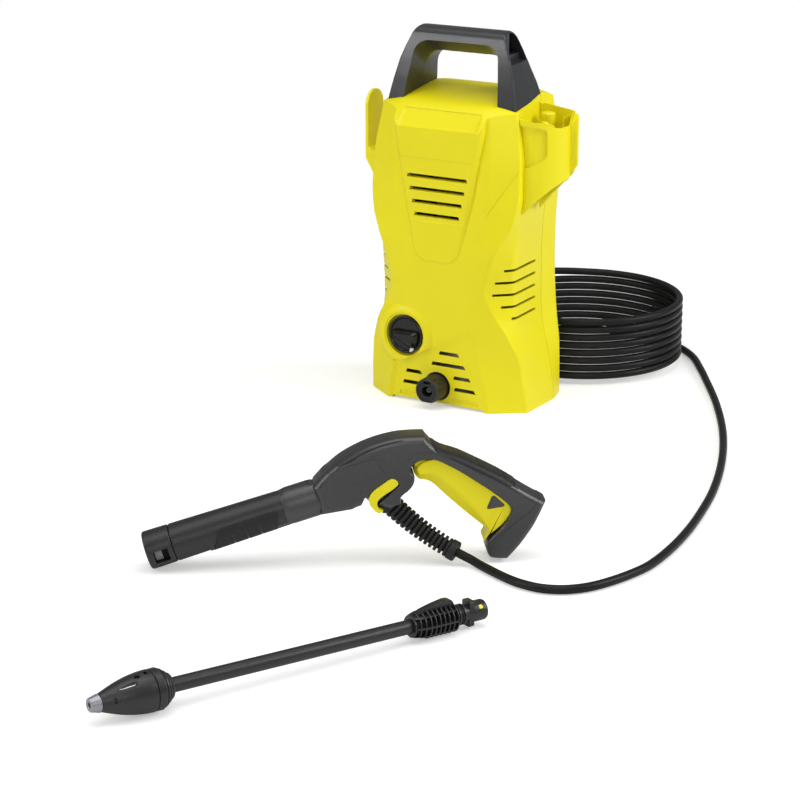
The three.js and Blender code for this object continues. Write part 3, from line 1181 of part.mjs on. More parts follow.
const gunBarrel = () => {
  const pose = barrelPose();
  const ringEnd = SOCKET_RING_LENGTH - GAP / 2;
  let ring = posed(tubeX(BARREL_MOUTH_RADIUS, 0, ringEnd, barrelRadiusAt(ringEnd), 24), pose);
  ring = ring.subtract(posed(tubeX(SOCKET_BORE, -OVERRUN, SOCKET_RING_LENGTH + OVERRUN), pose));
  const w = SOCKET_BORE / 2;
  ring = ring.subtract(posed(blockX(SOCKET_RING_LENGTH / 3, SOCKET_RING_LENGTH * 0.8, -w, w,
    -BARREL_MOUTH_RADIUS * 2, 0), pose));
  piece('lance_socket_ring', ring, BLACK, gun);

  const start = SOCKET_RING_LENGTH + GAP / 2;
  const frontEnd = SOCKET_DEPTH - GAP / 2;
  const front = posed(tubeX(barrelRadiusAt(start), start, frontEnd, barrelRadiusAt(frontEnd), 24), pose);
  piece('barrel_front', front.subtract(posed(tubeX(SOCKET_BORE, 0, SOCKET_DEPTH), pose)), BLACK, gun);

  const root = SOCKET_DEPTH + GAP / 2;
  let barrel = posed(tubeX(barrelRadiusAt(root), root, BARREL_LENGTH, BARREL_END_RADIUS, 24), pose);
  barrel = barrel.subtract(posed(tubeX(PIPE_RADIUS + GAP, 0, BARREL_LENGTH + OVERRUN, PIPE_RADIUS + GAP, 16), pose));
  for (let i = 0; i < PAD_GROOVES; i += 1) {
    const x = PAD_FIRST + i * PAD_PITCH;
    const low = -BARREL_MOUTH_RADIUS - OVERRUN;
    barrel = barrel.subtract(posed(blockX(x, x + PAD_GROOVE, -BARREL_MOUTH_RADIUS * 2, BARREL_MOUTH_RADIUS * 2,
      low, -barrelRadiusAt(x) + PAD_GROOVE), pose));
  }
  piece('gun_barrel', barrel, BLACK, gun);
  const pipe = posed(tubeX(PIPE_RADIUS, SOCKET_DEPTH + GAP, BARREL_LENGTH + GUN_HALF_WIDTH, PIPE_RADIUS, 16), pose);
  const way = posed(tubeX(PIPE_RADIUS / 2, 0, BARREL_LENGTH * 2, PIPE_RADIUS / 2, 12), pose);
  piece('gun_pipe', pipe.subtract(way), BRASS, gun);
};

const gunShells = () => {
  const outline = inset(gunOutline(), GUN_SHRINK);
  const w = GUN_HALF_WIDTH;
  const inner = w - GUN_SKIN;
  let body = chamfered(outline, -w, w, GUN_BEVEL);
  body = body.subtract(slab(inset(outline, GUN_SKIN + GUN_BEVEL / 2), -inner, inner));
  for (let i = 0; i <= SWEEP_STEPS; i += 1) {
    const turn = (TRIGGER_RANGE_DEG * i) / SWEEP_STEPS;
    for (const swept of [triggerOutline(TRIGGER_WALL), triggerArm()]) {
      body = body.subtract(slab(inset(triggerTurned(swept, turn), -GAP), -inner, inner));
    }
  }
  const hub = TRIGGER_PIN_RADIUS * 2 + GAP;
  body = body.subtract(rod('y', hub, -inner, inner, TRIGGER_PIVOT_X, TRIGGER_PIVOT_Z));
  const barrelEnd = tubeX(BARREL_END_RADIUS + GAP, 0, BARREL_LENGTH + GAP, BARREL_END_RADIUS + GAP, 24);
  body = body.subtract(posed(barrelEnd, barrelPose()));
  const bore = PIPE_RADIUS + GAP;
  body = body.subtract(posed(tubeX(bore, 0, BARREL_LENGTH + w, bore, 16), barrelPose()));
  const coupling = couplingPose();
  const sleeve = posed(tubeX(SLEEVE_RADIUS, -COUPLING_DEPTH, 0), coupling);
  const slot = posed(blockX(-CLIP_SETBACK - CLIP_BAND - GAP, -CLIP_SETBACK + GAP, -w * 2, w * 2,
    -CLIP_REACH * 2, CLIP_REACH + GAP), coupling);
  body = body.add(sleeve).subtract(slot.subtract(sleeve));
  body = body.subtract(posed(tubeX(MOUTH_RADIUS, -COUPLING_DEPTH - OVERRUN, OVERRUN), coupling));
  body = body.subtract(posed(tubeX(BOOT_COLLAR_RADIUS + GAP * 2, 0, BOOT_REACH), coupling));
  const far = GUN_LENGTH * 2;
  piece('gun_right_shell', body.intersect(box(-far, far, -far, -GAP / 2, -far, far)), DARK_GREY, gun);
  piece('gun_left_shell', body.intersect(box(-far, far, GAP / 2, far, -far, far)), DARK_GREY, gun);
};

// Outline of the trigger, as shares of the gun's length and height
const trigger_outline_shares = [
  [0.633, 0.722],
  [0.6435, 0.756],
  [0.674, 0.783],
  [0.694, 0.769],
  [0.743, 0.685],
  [0.82, 0.546],
  [0.895, 0.422],
  [0.9075, 0.364],
  [0.9065, 0.32],
  [0.873, 0.222],
  [0.851, 0.154],
  [0.84, 0.116],
  [0.847, 0.193],
  [0.816, 0.291],
  [0.738, 0.496],
  [0.7, 0.585],
  [0.676, 0.612],
  [0.6485, 0.609],
];

// The outline, with its rear edge pushed back under the shells
const triggerOutline = (under) => trigger_outline_shares.map(([x, z], i) => {
  const rear = i >= 3 && i <= 8;
  const shift = rear ? under : 0;
  return [x * GUN_LENGTH + shift * 0.6, z * GUN_HEIGHT + shift * 0.8];
});

// Arm from the trigger's upper end to its pin
const triggerArm = () => {
  const r = TRIGGER_PIN_RADIUS * 2;
  return [
    [TRIGGER_PIVOT_X - r, TRIGGER_PIVOT_Z],
    [TRIGGER_PIVOT_X - r, TRIGGER_PIVOT_Z - TRIGGER_ARM],
    [TRIGGER_PIVOT_X + r, TRIGGER_PIVOT_Z - TRIGGER_ARM],
    [TRIGGER_PIVOT_X + r, TRIGGER_PIVOT_Z],
  ];
};

const triggerTurned = (points, degrees) => {
  const a = THREE.MathUtils.degToRad(degrees);
  return points.map(([x, z]) => {
    const dx = x - TRIGGER_PIVOT_X;
    const dz = z - TRIGGER_PIVOT_Z;
    const turnedX = dx * Math.cos(a) - dz * Math.sin(a);
    const turnedZ = dx * Math.sin(a) + dz * Math.cos(a);
    return [TRIGGER_PIVOT_X + turnedX, TRIGGER_PIVOT_Z + turnedZ];
  });
};

const lockOutline = (grow) => {
  const r = LOCK_SIDE / Math.sqrt(3) + grow;
  return [0, 1, 2].map((i) => {
    const a = THREE.MathUtils.degToRad(100 + 120 * i);
    return [LOCK_X + r * Math.cos(a), LOCK_Z + r * Math.sin(a)];
  });
};

const triggerParts = () => {
  const w = TRIGGER_HALF_WIDTH;
  const outline = triggerOutline(TRIGGER_WALL);
  const inner = w - TRIGGER_WALL;
  const room = outline.filter((point, i) => i < TRIGGER_TOE_FIRST || i > TRIGGER_TOE_LAST);
  const hollow = inset(room, TRIGGER_WALL).map(([x, z], i) => {
    const rear = i >= 2 && i < TRIGGER_TOE_FIRST;
    return rear ? [x + TRIGGER_WALL * 3, z + TRIGGER_WALL * 4] : [x, z];
  });
  let trigger = slab(outline, -w, w).subtract(slab(hollow, -inner, inner));
  const boss = rod('y', TRIGGER_PIN_RADIUS * 2, -w, w, TRIGGER_PIVOT_X, TRIGGER_PIVOT_Z);
  trigger = union([trigger, boss, slab(triggerArm(), -w, w)]);
  trigger = trigger.subtract(rod('y', TRIGGER_PIN_RADIUS + GAP, -w * 2, w * 2, TRIGGER_PIVOT_X, TRIGGER_PIVOT_Z,
    TRIGGER_PIN_RADIUS + GAP, 20));
  trigger = trigger.subtract(slab(lockOutline(GAP), -w * 2, w * 2));
  piece('gun_trigger', trigger, YELLOW, gun);

  const pin = GUN_HALF_WIDTH - GUN_SKIN - GAP;
  piece('trigger_pin', rod('y', TRIGGER_PIN_RADIUS, -pin, pin, TRIGGER_PIVOT_X, TRIGGER_PIVOT_Z,
    TRIGGER_PIN_RADIUS, 20), STEEL, gun);
  piece('trigger_lock', slab(lockOutline(0), -w, w - LOCK_TRAVEL), DARK_GREY, gun);
};

const gunInside = () => {
  const pose = couplingPose();
  const w = VALVE_HALF_WIDTH;
  const back = -COUPLING_DEPTH - GAP;
  let valve = posed(blockX(back - w * 1.6, back, -w, w, -w * 0.9, w * 0.9), pose);
  const pipe = tubeX(PIPE_RADIUS + GAP, 0, BARREL_LENGTH + GUN_HALF_WIDTH + GAP, PIPE_RADIUS + GAP, 16);
  valve = valve.subtract(posed(pipe, barrelPose()));
  piece('gun_valve', valve, BRASS, gun);

  const coupling = turned([
    [-COUPLING_DEPTH, 0],
    [-COUPLING_DEPTH, COUPLING_NECK * 0.7],
    [-COUPLING_DEPTH * 0.6, COUPLING_NECK * 0.7],
    [-COUPLING_DEPTH * 0.6, MOUTH_RADIUS - GAP * 2],
    [-MOUTH_SETBACK - GAP, MOUTH_RADIUS - GAP * 2],
    [-MOUTH_SETBACK - GAP, COUPLING_NECK],
    [0, COUPLING_NECK],
    [0, 0],
  ], 24);
  piece('hose_coupling', posed(coupling, pose), BRASS, gun);
};

const hoseClip = () => {
  const x1 = -CLIP_SETBACK;
  const x0 = x1 - CLIP_BAND;
  const inner = SLEEVE_RADIUS + GAP;
  const body = posed(blockX(x0, x1, -CLIP_HALF_WIDTH, CLIP_HALF_WIDTH, -CLIP_FOOT, CLIP_REACH), couplingPose());
  const bore = posed(tubeX(inner, x0 - OVERRUN, x1 + OVERRUN), couplingPose());
  const way = posed(blockX(x0 - OVERRUN, x1 + OVERRUN, -inner, inner, 0, CLIP_REACH + OVERRUN), couplingPose());
  piece('hose_clip', body.subtract(bore).subtract(way), YELLOW, gun);
};

// Hose route: hand-chosen points on the floor, from the bend protector to the coil
const hoseRoute = [
  [296.5, -503.6, 6.6],
  [308, -507.3, 4.9],
  [321, -513, 4.6],
  [338, -520.6, 4.6],
  [352, -526, 4.6],
  [367, -529.8, 4.6],
  [389, -530.2, 4.6],
  [409, -521.5, 4.6],
  [425, -504.5, 4.6],
  [437, -479, 4.6],
  [445.5, -450, 4.6],
  [450, -424, 4.6],
  [449, -376, 4.6],
  [442, -318, 4.6],
  [431, -262, 4.6],
  [412, -186, 4.6],
  [379, -90, 4.6],
  [337, 6, 4.6],
  [286, 101, 4.6],
  [240, 176, 4.6],
  [208, 226, 4.6],
  [178, 268, 4.6],
  [144, 298, 4.6],
];

const gunToUnit = (x, y, z) => {
  const a = THREE.MathUtils.degToRad(GUN_TURN_DEG);
  return new THREE.Vector3(GUN_X + x * Math.cos(a) - y * Math.sin(a), GUN_Y + x * Math.sin(a) + y * Math.cos(a), z);
};

const pitched = (distance) => {
  const a = THREE.MathUtils.degToRad(COUPLING_PITCH_DEG);
  return gunToUnit(COUPLING_X + distance * Math.cos(a), 0, COUPLING_Z + distance * Math.sin(a));
};

// Bend protector: it leaves the coupling straight and sags towards the hose
const bootCurve = new THREE.QuadraticBezierCurve3(
  pitched(GAP), pitched(BOOT_REACH), new THREE.Vector3(BOOT_END_X, BOOT_END_Y, BOOT_END_Z));

// Rings of points round a curve, at the given places with the given radii
const ringsAlong = (curve, stations, sides) => {
  const samples = stations.map(([t]) => ({ point: curve.getPoint(t), along: curve.getTangent(t).normalize() }));
  const up = new THREE.Vector3(0, 0, 1);
  return samples.map(({ point, along }, i) => {
    const side = new THREE.Vector3().crossVectors(along, up).normalize();
    const top = new THREE.Vector3().crossVectors(side, along).normalize();
    const ring = [];
    for (let j = 0; j < sides; j += 1) {
      const a = (2 * Math.PI * (j + 0.5)) / sides;
      const r = stations[i][1];
      ring.push(point.clone().addScaledVector(side, r * Math.cos(a)).addScaledVector(top, r * Math.sin(a)));
    }
    return ring;
  });
};

const bendProtector = () => {
  const length = bootCurve.getLength();
  const collar = BOOT_END_LENGTH;
  const ribbed = length - collar - BOOT_END_LENGTH;
  const stations = [[0, BOOT_COLLAR_RADIUS], [(collar * 0.95) / length, BOOT_COLLAR_RADIUS]];
  for (let i = 0; i < BOOT_RIBS; i += 1) {
    const taper = BOOT_RIB_RADIUS + ((BOOT_RIB_END_RADIUS - BOOT_RIB_RADIUS) * i) / BOOT_RIBS;
    const start = collar + (ribbed * i) / BOOT_RIBS;
    stations.push([start / length, taper - BOOT_GROOVE_DEPTH]);
    stations.push([(start + ribbed / BOOT_RIBS / 2) / length, taper]);
  }
  stations.push([(length - BOOT_END_LENGTH) / length, BOOT_END_RADIUS * 0.8]);
  stations.push([(length - BOOT_END_LENGTH * 0.9) / length, BOOT_END_RADIUS]);
  stations.push([1, BOOT_END_RADIUS]);
  const mesh = piece('bend_protector', loft(ringsAlong(bootCurve, stations, BOOT_SIDES)), RUBBER);
  cordNodes.add(mesh.name);
};

// Coil: a helix that climbs one pitch a turn, straight at both ends
const coilPoint = (angle) => {
  const first = THREE.MathUtils.degToRad(COIL_START_DEG);
  const last = THREE.MathUtils.degToRad(COIL_END_DEG + 360 * COIL_WHOLE_TURNS);
  const span = THREE.MathUtils.degToRad(COIL_LIFT_SPAN_DEG);
  const turns = (angle - first) / (2 * Math.PI);
  const s = THREE.MathUtils.clamp((angle - (last - span)) / span, 0, 1);
  const lift = COIL_LIFT * s * s * (3 - 2 * s);
  return new THREE.Vector3(
    COIL_X + COIL_RADIUS * Math.cos(angle),
    COIL_Y + COIL_RADIUS * Math.sin(angle),
    HOSE_REST_Z + COIL_PITCH * turns + lift);
};

const coilDirection = (angle) => new THREE.Vector3(-Math.sin(angle), Math.cos(angle), 0);

const coilPath = () => {
  const first = THREE.MathUtils.degToRad(COIL_START_DEG);
  const last = THREE.MathUtils.degToRad(COIL_END_DEG + 360 * COIL_WHOLE_TURNS);
  const steps = Math.round(((last - first) * COIL_STEPS) / (2 * Math.PI));
  const points = [];
  for (let i = 0; i <= steps; i += 1) points.push(coilPoint(first + ((last - first) * i) / steps));
  const start = points[0].clone().addScaledVector(coilDirection(first), -HOSE_DIAMETER);
  const end = points[steps].clone().addScaledVector(coilDirection(last), HOSE_DIAMETER);
  return { points: [start, ...points, end], start, end, startDirection: coilDirection(first),
    endDirection: coilDirection(last) };
};

const coil = coilPath();

// Least gap of a tube to itself: points more than a few diameters apart along it
const leastSelfGap = (points, diameter) => {
  const fine = [];
  for (let i = 0; i + 1 < points.length; i += 1) {
    for (let k = 0; k < 3; k += 1) fine.push(points[i].clone().lerp(points[i + 1], k / 3));
  }
  const spacing = fine[0].distanceTo(fine[1]);
  const skip = Math.ceil((diameter * 6) / spacing);
  let least = Infinity;
  for (let i = 0; i < fine.length; i += 1) {
    for (let j = i + skip; j < fine.length; j += 1) least = Math.min(least, fine[i].distanceTo(fine[j]));
  }
  return least - diameter;
};

// Tube through points, each ring square to the path there
const tubeThrough = (points, radius, sides) => {
  const n = points.length;
  const rings = points.map((p, i) => {
    const before = i > 0 ? p.clone().sub(points[i - 1]).normalize() : null;
    const after = i + 1 < n ? points[i + 1].clone().sub(p).normalize() : null;
    const along = (before && after ? before.add(after) : before ?? after).normalize();
    const side = new THREE.Vector3().crossVectors(along, new THREE.Vector3(0, 0, 1)).normalize();
    const top = new THREE.Vector3().crossVectors(side, along).normalize();
    const ring = [];
    for (let j = 0; j < sides; j += 1) {
      const a = (2 * Math.PI * j) / sides;
      ring.push(p.clone().addScaledVector(side, radius * Math.cos(a)).addScaledVector(top, radius * Math.sin(a)));
    }
    return ring;
  });
  return loft(rings);
};

const hose = () => {
  const coilMesh = piece('hose_coil', tubeThrough(coil.points, HOSE_DIAMETER / 2, COIL_SIDES), RUBBER);
  cordNodes.add(coilMesh.name);
  console.log('least gap of the coil to itself, mm:', leastSelfGap(coil.points, HOSE_DIAMETER).toFixed(3));

  const bootEnd = bootCurve.getPoint(1);
  const bootAlong = bootCurve.getTangent(1).normalize();
  const start = bootEnd.clone().addScaledVector(bootAlong, GAP);
  const second = bootEnd.clone().addScaledVector(bootAlong, GAP + HOSE_DIAMETER / 2);
  const end = coil.start.clone().addScaledVector(coil.startDirection, -GAP);
  const beforeEnd = end.clone().addScaledVector(coil.startDirection, -HOSE_DIAMETER);
  const points = [start, second, ...hoseRoute.map(([x, y, z]) => new THREE.Vector3(x, y, z)), beforeEnd, end];
  const path = new THREE.CatmullRomCurve3(points, false, 'centripetal');
  const section = new THREE.Shape();
  for (let i = 0; i < HOSE_SIDES; i += 1) {
    const a = (2 * Math.PI * (i + 0.5)) / HOSE_SIDES;
    const p = [(HOSE_DIAMETER / 2) * Math.cos(a), (HOSE_DIAMETER / 2) * Math.sin(a)];
    if (i === 0) section.moveTo(...p);
    else section.lineTo(...p);
  }
  const tube = new THREE.ExtrudeGeometry(section, { steps: HOSE_STEPS, bevelEnabled: false, extrudePath: path });
  const free = piece('hose_free', solid(tube), RUBBER);
  cordNodes.add(free.name);
  console.log('hose: free stretch', path.getLength().toFixed(0), 'mm, coil',
    new THREE.CatmullRomCurve3(coil.points).getLength().toFixed(0), 'mm');
};

// Quick connector on the hose's far end, lying on the coil's top turn
const hoseConnector = () => {
  const a = CONNECTOR_SLEEVE_LENGTH;
  const b = a + CONNECTOR_NUT_LENGTH;
  const c = b + CONNECTOR_NOSE_LENGTH;
  const g = turned([
    [0, 0],
    [0, CONNECTOR_SLEEVE],
    [a, CONNECTOR_SLEEVE],
    [a, CONNECTOR_NUT],
    [b, CONNECTOR_NUT],
    [b, CONNECTOR_NOSE],
    [c, CONNECTOR_NOSE],
    [c, 0],
  ], 20);
  const along = coil.endDirection;
  const side = new THREE.Vector3(0, 0, 1).cross(along);
  const pose = new THREE.Matrix4().makeBasis(along, side, new THREE.Vector3(0, 0, 1));
  pose.setPosition(coil.end.clone().addScaledVector(along, GAP));
  const mesh = piece('hose_connector', posed(g, pose), BRASS);
  cordNodes.add(mesh.name);
};

// Nozzle outline: radius along its length as shares of length and widest radius
const nozzle_curve_shares = [
  [0, 0.42],
  [0.2, 0.61],
  [0.42, 0.79],
  [0.65, 0.92],
  [0.85, 0.985],
  [1, 1],
];

const nozzle = () => {
  const start = TIP_LENGTH + GAP;
  const outer = nozzle_curve_shares.map(([x, r]) => [start + x * NOZZLE_LENGTH, r * NOZZLE_RADIUS]);
  const end = start + NOZZLE_LENGTH;
  const inner = outer.map(([x, r]) => [x + NOZZLE_WALL, r - NOZZLE_WALL]).filter(([x]) => x < end);
  let body = solid(turned([[start, 0], ...outer, [end, 0]], 24));
  body = body.subtract(solid(turned([[inner[0][0], 0], ...inner, [end + OVERRUN, NOZZLE_RADIUS - NOZZLE_WALL],
    [end + OVERRUN, 0]], 20)));
  body = body.subtract(solid(tubeX(TIP_BORE, 0, end, TIP_BORE, 12)));
  const half = NOZZLE_WINDOW / 2;
  const x0 = start + NOZZLE_LENGTH * 0.3;
  const x1 = start + NOZZLE_LENGTH * 0.72;
  const window = solid(blockX(x0, x1, -half, half, 0, NOZZLE_RADIUS * 2));
  body = body.subtract(window);
  piece('nozzle_body', body, BLACK, lance);

  const tip = solid(tubeX(TIP_RADIUS, 0, TIP_LENGTH, NOZZLE_NECK)).subtract(
    solid(tubeX(TIP_BORE, -OVERRUN, TIP_LENGTH + OVERRUN, TIP_BORE, 12)));
  piece('nozzle_tip', tip, CLEAR_GREY, lance);

  const c0 = end + GAP;
  const profile = [[c0, 0], [c0, NOZZLE_RADIUS]];
  const flat = COLLAR_LENGTH * 0.4;
  profile.push([c0 + flat, NOZZLE_RADIUS]);
  const ringStep = (COLLAR_LENGTH - flat) / COLLAR_RINGS;
  const fall = (NOZZLE_RADIUS - COLLAR_NECK) / COLLAR_RINGS;
  for (let i = 0; i < COLLAR_RINGS; i += 1) {
    const x = c0 + flat + i * ringStep;
    const r = NOZZLE_RADIUS - (i + 0.4) * fall;
    profile.push([x, r - GRIP_FIN], [x + ringStep * 0.35, r - GRIP_FIN], [x + ringStep * 0.35, r]);
    profile.push([x + ringStep, r - fall * 0.3]);
  }
  profile.push([c0 + COLLAR_LENGTH, 0]);
  const collar = solid(turned(profile, 20)).subtract(
    solid(tubeX(TUBE_RADIUS + GAP, c0 + NOZZLE_WALL, c0 + COLLAR_LENGTH + OVERRUN))).subtract(
    solid(tubeX(TUBE_BORE, 0, c0 + COLLAR_LENGTH)));
  piece('nozzle_collar', collar, BLACK, lance);

  const r0 = end - ROTOR_LENGTH - GAP;
  const rotor = turned([[r0, 0], [r0, SPRAY_ROTOR_RADIUS * 0.45], [r0 + ROTOR_LENGTH * 0.4, SPRAY_ROTOR_RADIUS * 0.6],
    [r0 + ROTOR_LENGTH * 0.5, SPRAY_ROTOR_RADIUS], [end - GAP * 2, SPRAY_ROTOR_RADIUS], [end - GAP * 2, 0]], 16);
  piece('nozzle_rotor', rotor, BRASS, lance);
};

const lanceTube = () => {
  const start = TIP_LENGTH + GAP + NOZZLE_LENGTH + GAP + NOZZLE_WALL + GAP;
  const tube = solid(tubeX(TUBE_RADIUS, start, GRIP_START - GAP, TUBE_RADIUS, 20)).subtract(
    solid(tubeX(TUBE_BORE, 0, GRIP_START + OVERRUN, TUBE_BORE, 12)));
  piece('lance_tube', tube, BLACK, lance);
};

// Ribbed grip: thin discs on a core, a crest on top and long ribs along the sides
const lanceGrip = () => {
  const end = GRIP_START + GRIP_LENGTH;
  let grip = solid(tubeX(GRIP_CORE, GRIP_START, end, GRIP_CORE, 12));
  for (let i = 0; i < GRIP_FINS; i += 1) {
    const x = GRIP_START + ((GRIP_LENGTH - GRIP_FIN) * i) / (GRIP_FINS - 1);
    const share = Math.min(1, 0.72 + (0.28 * i) / 3);
    grip = grip.add(solid(tubeX(GRIP_RADIUS * share, x, x + GRIP_FIN, GRIP_RADIUS * share, 14)));
  }
  const low = GRIP_RADIUS * 0.74;
  const crest = slab([
    [GRIP_START, GRIP_CORE * 0.6],
    [GRIP_START + GRIP_LENGTH * 0.35, GRIP_CREST * 0.8],
    [end - GRIP_LENGTH * 0.15, GRIP_CREST],
    [end, GRIP_RADIUS],
    [end, 0],
    [GRIP_START, 0],
  ], -GRIP_CREST_WIDTH / 2, GRIP_CREST_WIDTH / 2);
  grip = grip.add(crest);
  const across = solid(blockX(GRIP_START + GRIP_FIN, end - GRIP_FIN, -GRIP_RADIUS * 0.97, GRIP_RADIUS * 0.97,
    -GRIP_FIN / 2, GRIP_FIN / 2));
  const under = solid(blockX(GRIP_START + GRIP_FIN, end - GRIP_FIN, -low, low, -low * 0.9 - GRIP_FIN / 2,
    -low * 0.9 + GRIP_FIN / 2));
  const round = solid(tubeX(GRIP_RADIUS * 0.8, GRIP_START, end, GRIP_RADIUS, 14));
  grip = grip.add(across.add(under).intersect(round));
  grip = grip.subtract(solid(tubeX(TUBE_BORE, 0, end + OVERRUN, TUBE_BORE, 12)));
  piece('lance_grip', grip, BLACK, lance);
};

const lanceBayonet = () => {
  const start = GRIP_START + GRIP_LENGTH + GAP;
  const wing = start + NECK_LENGTH;
  const head = wing + WING_LENGTH;
  const end = head + HEAD_LENGTH;
  const seal0 = start + NECK_LENGTH * 0.35;
  const seal1 = seal0 + SEAL_WIDTH;
  const neck = turned([
    [start, 0],
    [start, SEAL_RADIUS],
    [seal0 - GAP, SEAL_RADIUS],
    [seal0 - GAP, NECK_RADIUS - GAP],
    [seal1 + GAP, NECK_RADIUS - GAP],
    [seal1 + GAP, SEAL_RADIUS],
    [seal1 + SEAL_WIDTH, SEAL_RADIUS],
    [wing, NECK_RADIUS],
    [head, HEAD_RADIUS],
    [end - WING_LENGTH / 2, HEAD_RADIUS],
    [end, HEAD_RADIUS * 0.85],
    [end, 0],
  ], 24);
  const w = WING_WIDTH / 2;
  let body = solid(neck).add(solid(blockX(wing, head, -w, w, -WING_REACH, WING_REACH)));
  body = body.subtract(solid(tubeX(HEAD_BORE, 0, end + OVERRUN, HEAD_BORE, 12)));
  piece('lance_bayonet', body, BLACK, lance);
  const seal = solid(tubeX(SEAL_RADIUS - GAP / 2, seal0, seal1, SEAL_RADIUS - GAP / 2, 24)).subtract(
    solid(tubeX(NECK_RADIUS, seal0 - OVERRUN, seal1 + OVERRUN, NECK_RADIUS, 24)));
  piece('lance_o_ring', seal, RUBBER, lance);
};

housing();
housingScrews();
carryHandle();
gunHolster();
cableHook();
switchParts();
outletParts();
pump();
gearTrain();
motor();
smallFittings();
gunBarrel();
gunShells();
triggerParts();
gunInside();
hoseClip();
bendProtector();
hose();
hoseConnector();
nozzle();
lanceTube();
lanceGrip();
lanceBayonet();

// Origin: middle of the object's box without its hose, on the surface it stands on
root.updateMatrixWorld(true);
const bounds = new THREE.Box3();
root.traverse((item) => {
  if (item.isMesh && !cordNodes.has(item.name)) bounds.union(new THREE.Box3().setFromObject(item, true));
});
const middle = bounds.getCenter(new THREE.Vector3());
root.position.set(-middle.x, -middle.y, -bounds.min.z);
root.updateMatrixWorld(true);
console.log('origin moved by', root.position.toArray().map((v) => v.toFixed(4)).join(', '));

export default root;
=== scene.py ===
"""Looks of the compact pressure washer, its gun, hose coil and lance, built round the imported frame."""

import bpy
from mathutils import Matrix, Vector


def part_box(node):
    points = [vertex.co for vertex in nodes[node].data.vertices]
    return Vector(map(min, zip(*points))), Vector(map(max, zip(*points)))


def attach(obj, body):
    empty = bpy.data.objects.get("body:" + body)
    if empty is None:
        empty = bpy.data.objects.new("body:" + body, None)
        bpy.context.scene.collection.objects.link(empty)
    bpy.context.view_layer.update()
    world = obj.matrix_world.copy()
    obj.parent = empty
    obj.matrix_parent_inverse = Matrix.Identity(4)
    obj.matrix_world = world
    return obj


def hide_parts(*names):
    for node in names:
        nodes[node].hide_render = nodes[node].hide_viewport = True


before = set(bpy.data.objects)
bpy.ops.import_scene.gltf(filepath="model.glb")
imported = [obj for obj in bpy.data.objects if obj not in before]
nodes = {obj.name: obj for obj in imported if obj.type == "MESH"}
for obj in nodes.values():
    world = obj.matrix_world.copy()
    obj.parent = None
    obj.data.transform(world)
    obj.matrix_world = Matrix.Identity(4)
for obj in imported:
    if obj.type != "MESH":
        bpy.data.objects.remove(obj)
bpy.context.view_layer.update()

import math
from functools import partial

import bmesh
import bpy
from mathutils import Matrix, Vector


def shift(x, y, z):
    return Matrix.Translation((x, y, z))


def spin(degrees, axis):
    return Matrix.Rotation(math.radians(degrees), 4, axis)


def placed(name, data):
    """A new object in the scene."""
    obj = bpy.data.objects.new(name, data)
    bpy.context.scene.collection.objects.link(obj)
    return obj


# Everything below is built in millimetres in the part's own layout, then set into the row frame.
MM = 0.001
STATOR_IN_LAYOUT = Vector((0.006, 0.014, 0))
stator_low, stator_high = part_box("motor_stator")
SHIFT = (stator_low + stator_high) / 2 - STATOR_IN_LAYOUT
SHIFT.z = 0
COUPLING_X, COUPLING_Z, COUPLING_FALL = 225, 65, 47
UNIT = Matrix.Translation(SHIFT) @ Matrix.Scale(MM, 4)
GUN = UNIT @ shift(37, -670, 0) @ spin(37, "Z")
BARREL = shift(-8.4, 0, 19) @ spin(-16.8, "Y")
COUPLING = shift(COUPLING_X, 0, COUPLING_Z) @ spin(COUPLING_FALL, "Y")
LANCE = UNIT @ shift(208.8, -991, 19.8) @ spin(65.3, "Z") @ spin(0.8, "Y")

# Camera at the photo's viewpoint
CAMERA_PLACE, CAMERA_TURN, CAMERA_RISE = Vector((1384.6, -2427.2, 857.0)), 31.3, 17.27
SENSOR_WIDTH, FOCAL_PIXELS, PHOTO_PIXELS = 36, 2412, 800
camera = placed("camera", bpy.data.cameras.new("camera"))
turn, rise = math.radians(CAMERA_TURN), math.radians(CAMERA_RISE)
back = Vector((math.sin(turn) * math.cos(rise), -math.cos(turn) * math.cos(rise), math.sin(rise)))
camera.location = UNIT @ CAMERA_PLACE
camera.rotation_mode = "QUATERNION"
camera.rotation_quaternion = (-back).to_track_quat("-Z", "Y")
camera.data.sensor_width = SENSOR_WIDTH
camera.data.lens = SENSOR_WIDTH * FOCAL_PIXELS / PHOTO_PIXELS
camera.data.clip_start = 0.05
camera.data.clip_end = 60
bpy.context.scene.camera = camera


# ---- shared shader effects
def fill(tree, made, values):
    """A node's inputs, each set to a constant or linked to another node's output."""
    for key, value in values.items():
        if isinstance(value, (int, float, tuple)):
            made.inputs[key].default_value = value
        else:
            tree.links.new(value, made.inputs[key])


def node(tree, kind, values=(), **settings):
    made = tree.nodes.new(kind)
    for key, value in settings.items():
        setattr(made, key, value)
    fill(tree, made, dict(values))
    return made


def group(name, inputs, outputs):
    """Empty effect with numbers going in and out; its nodes are added after this."""
    tree = bpy.data.node_groups.new(name, "ShaderNodeTree")
    for label, value in inputs.items():
        socket = tree.interface.new_socket(label, in_out="INPUT", socket_type="NodeSocketFloat")
        socket.default_value = value
    for label in outputs:
        tree.interface.new_socket(label, in_out="OUTPUT", socket_type="NodeSocketFloat")
    return tree, tree.nodes.new("NodeGroupInput").outputs, tree.nodes.new("NodeGroupOutput")


def math_node(tree, operation, a, b, clamp=False):
    return node(tree, "ShaderNodeMath", {0: a, 1: b}, operation=operation, use_clamp=clamp).outputs[0]


def mix_colour(tree, factor, a, b):
    return node(tree, "ShaderNodeMix", {0: factor, 6: a, 7: b}, data_type="RGBA").outputs[2]


def place(tree):
    return node(tree, "ShaderNodeTexCoord").outputs["Object"]


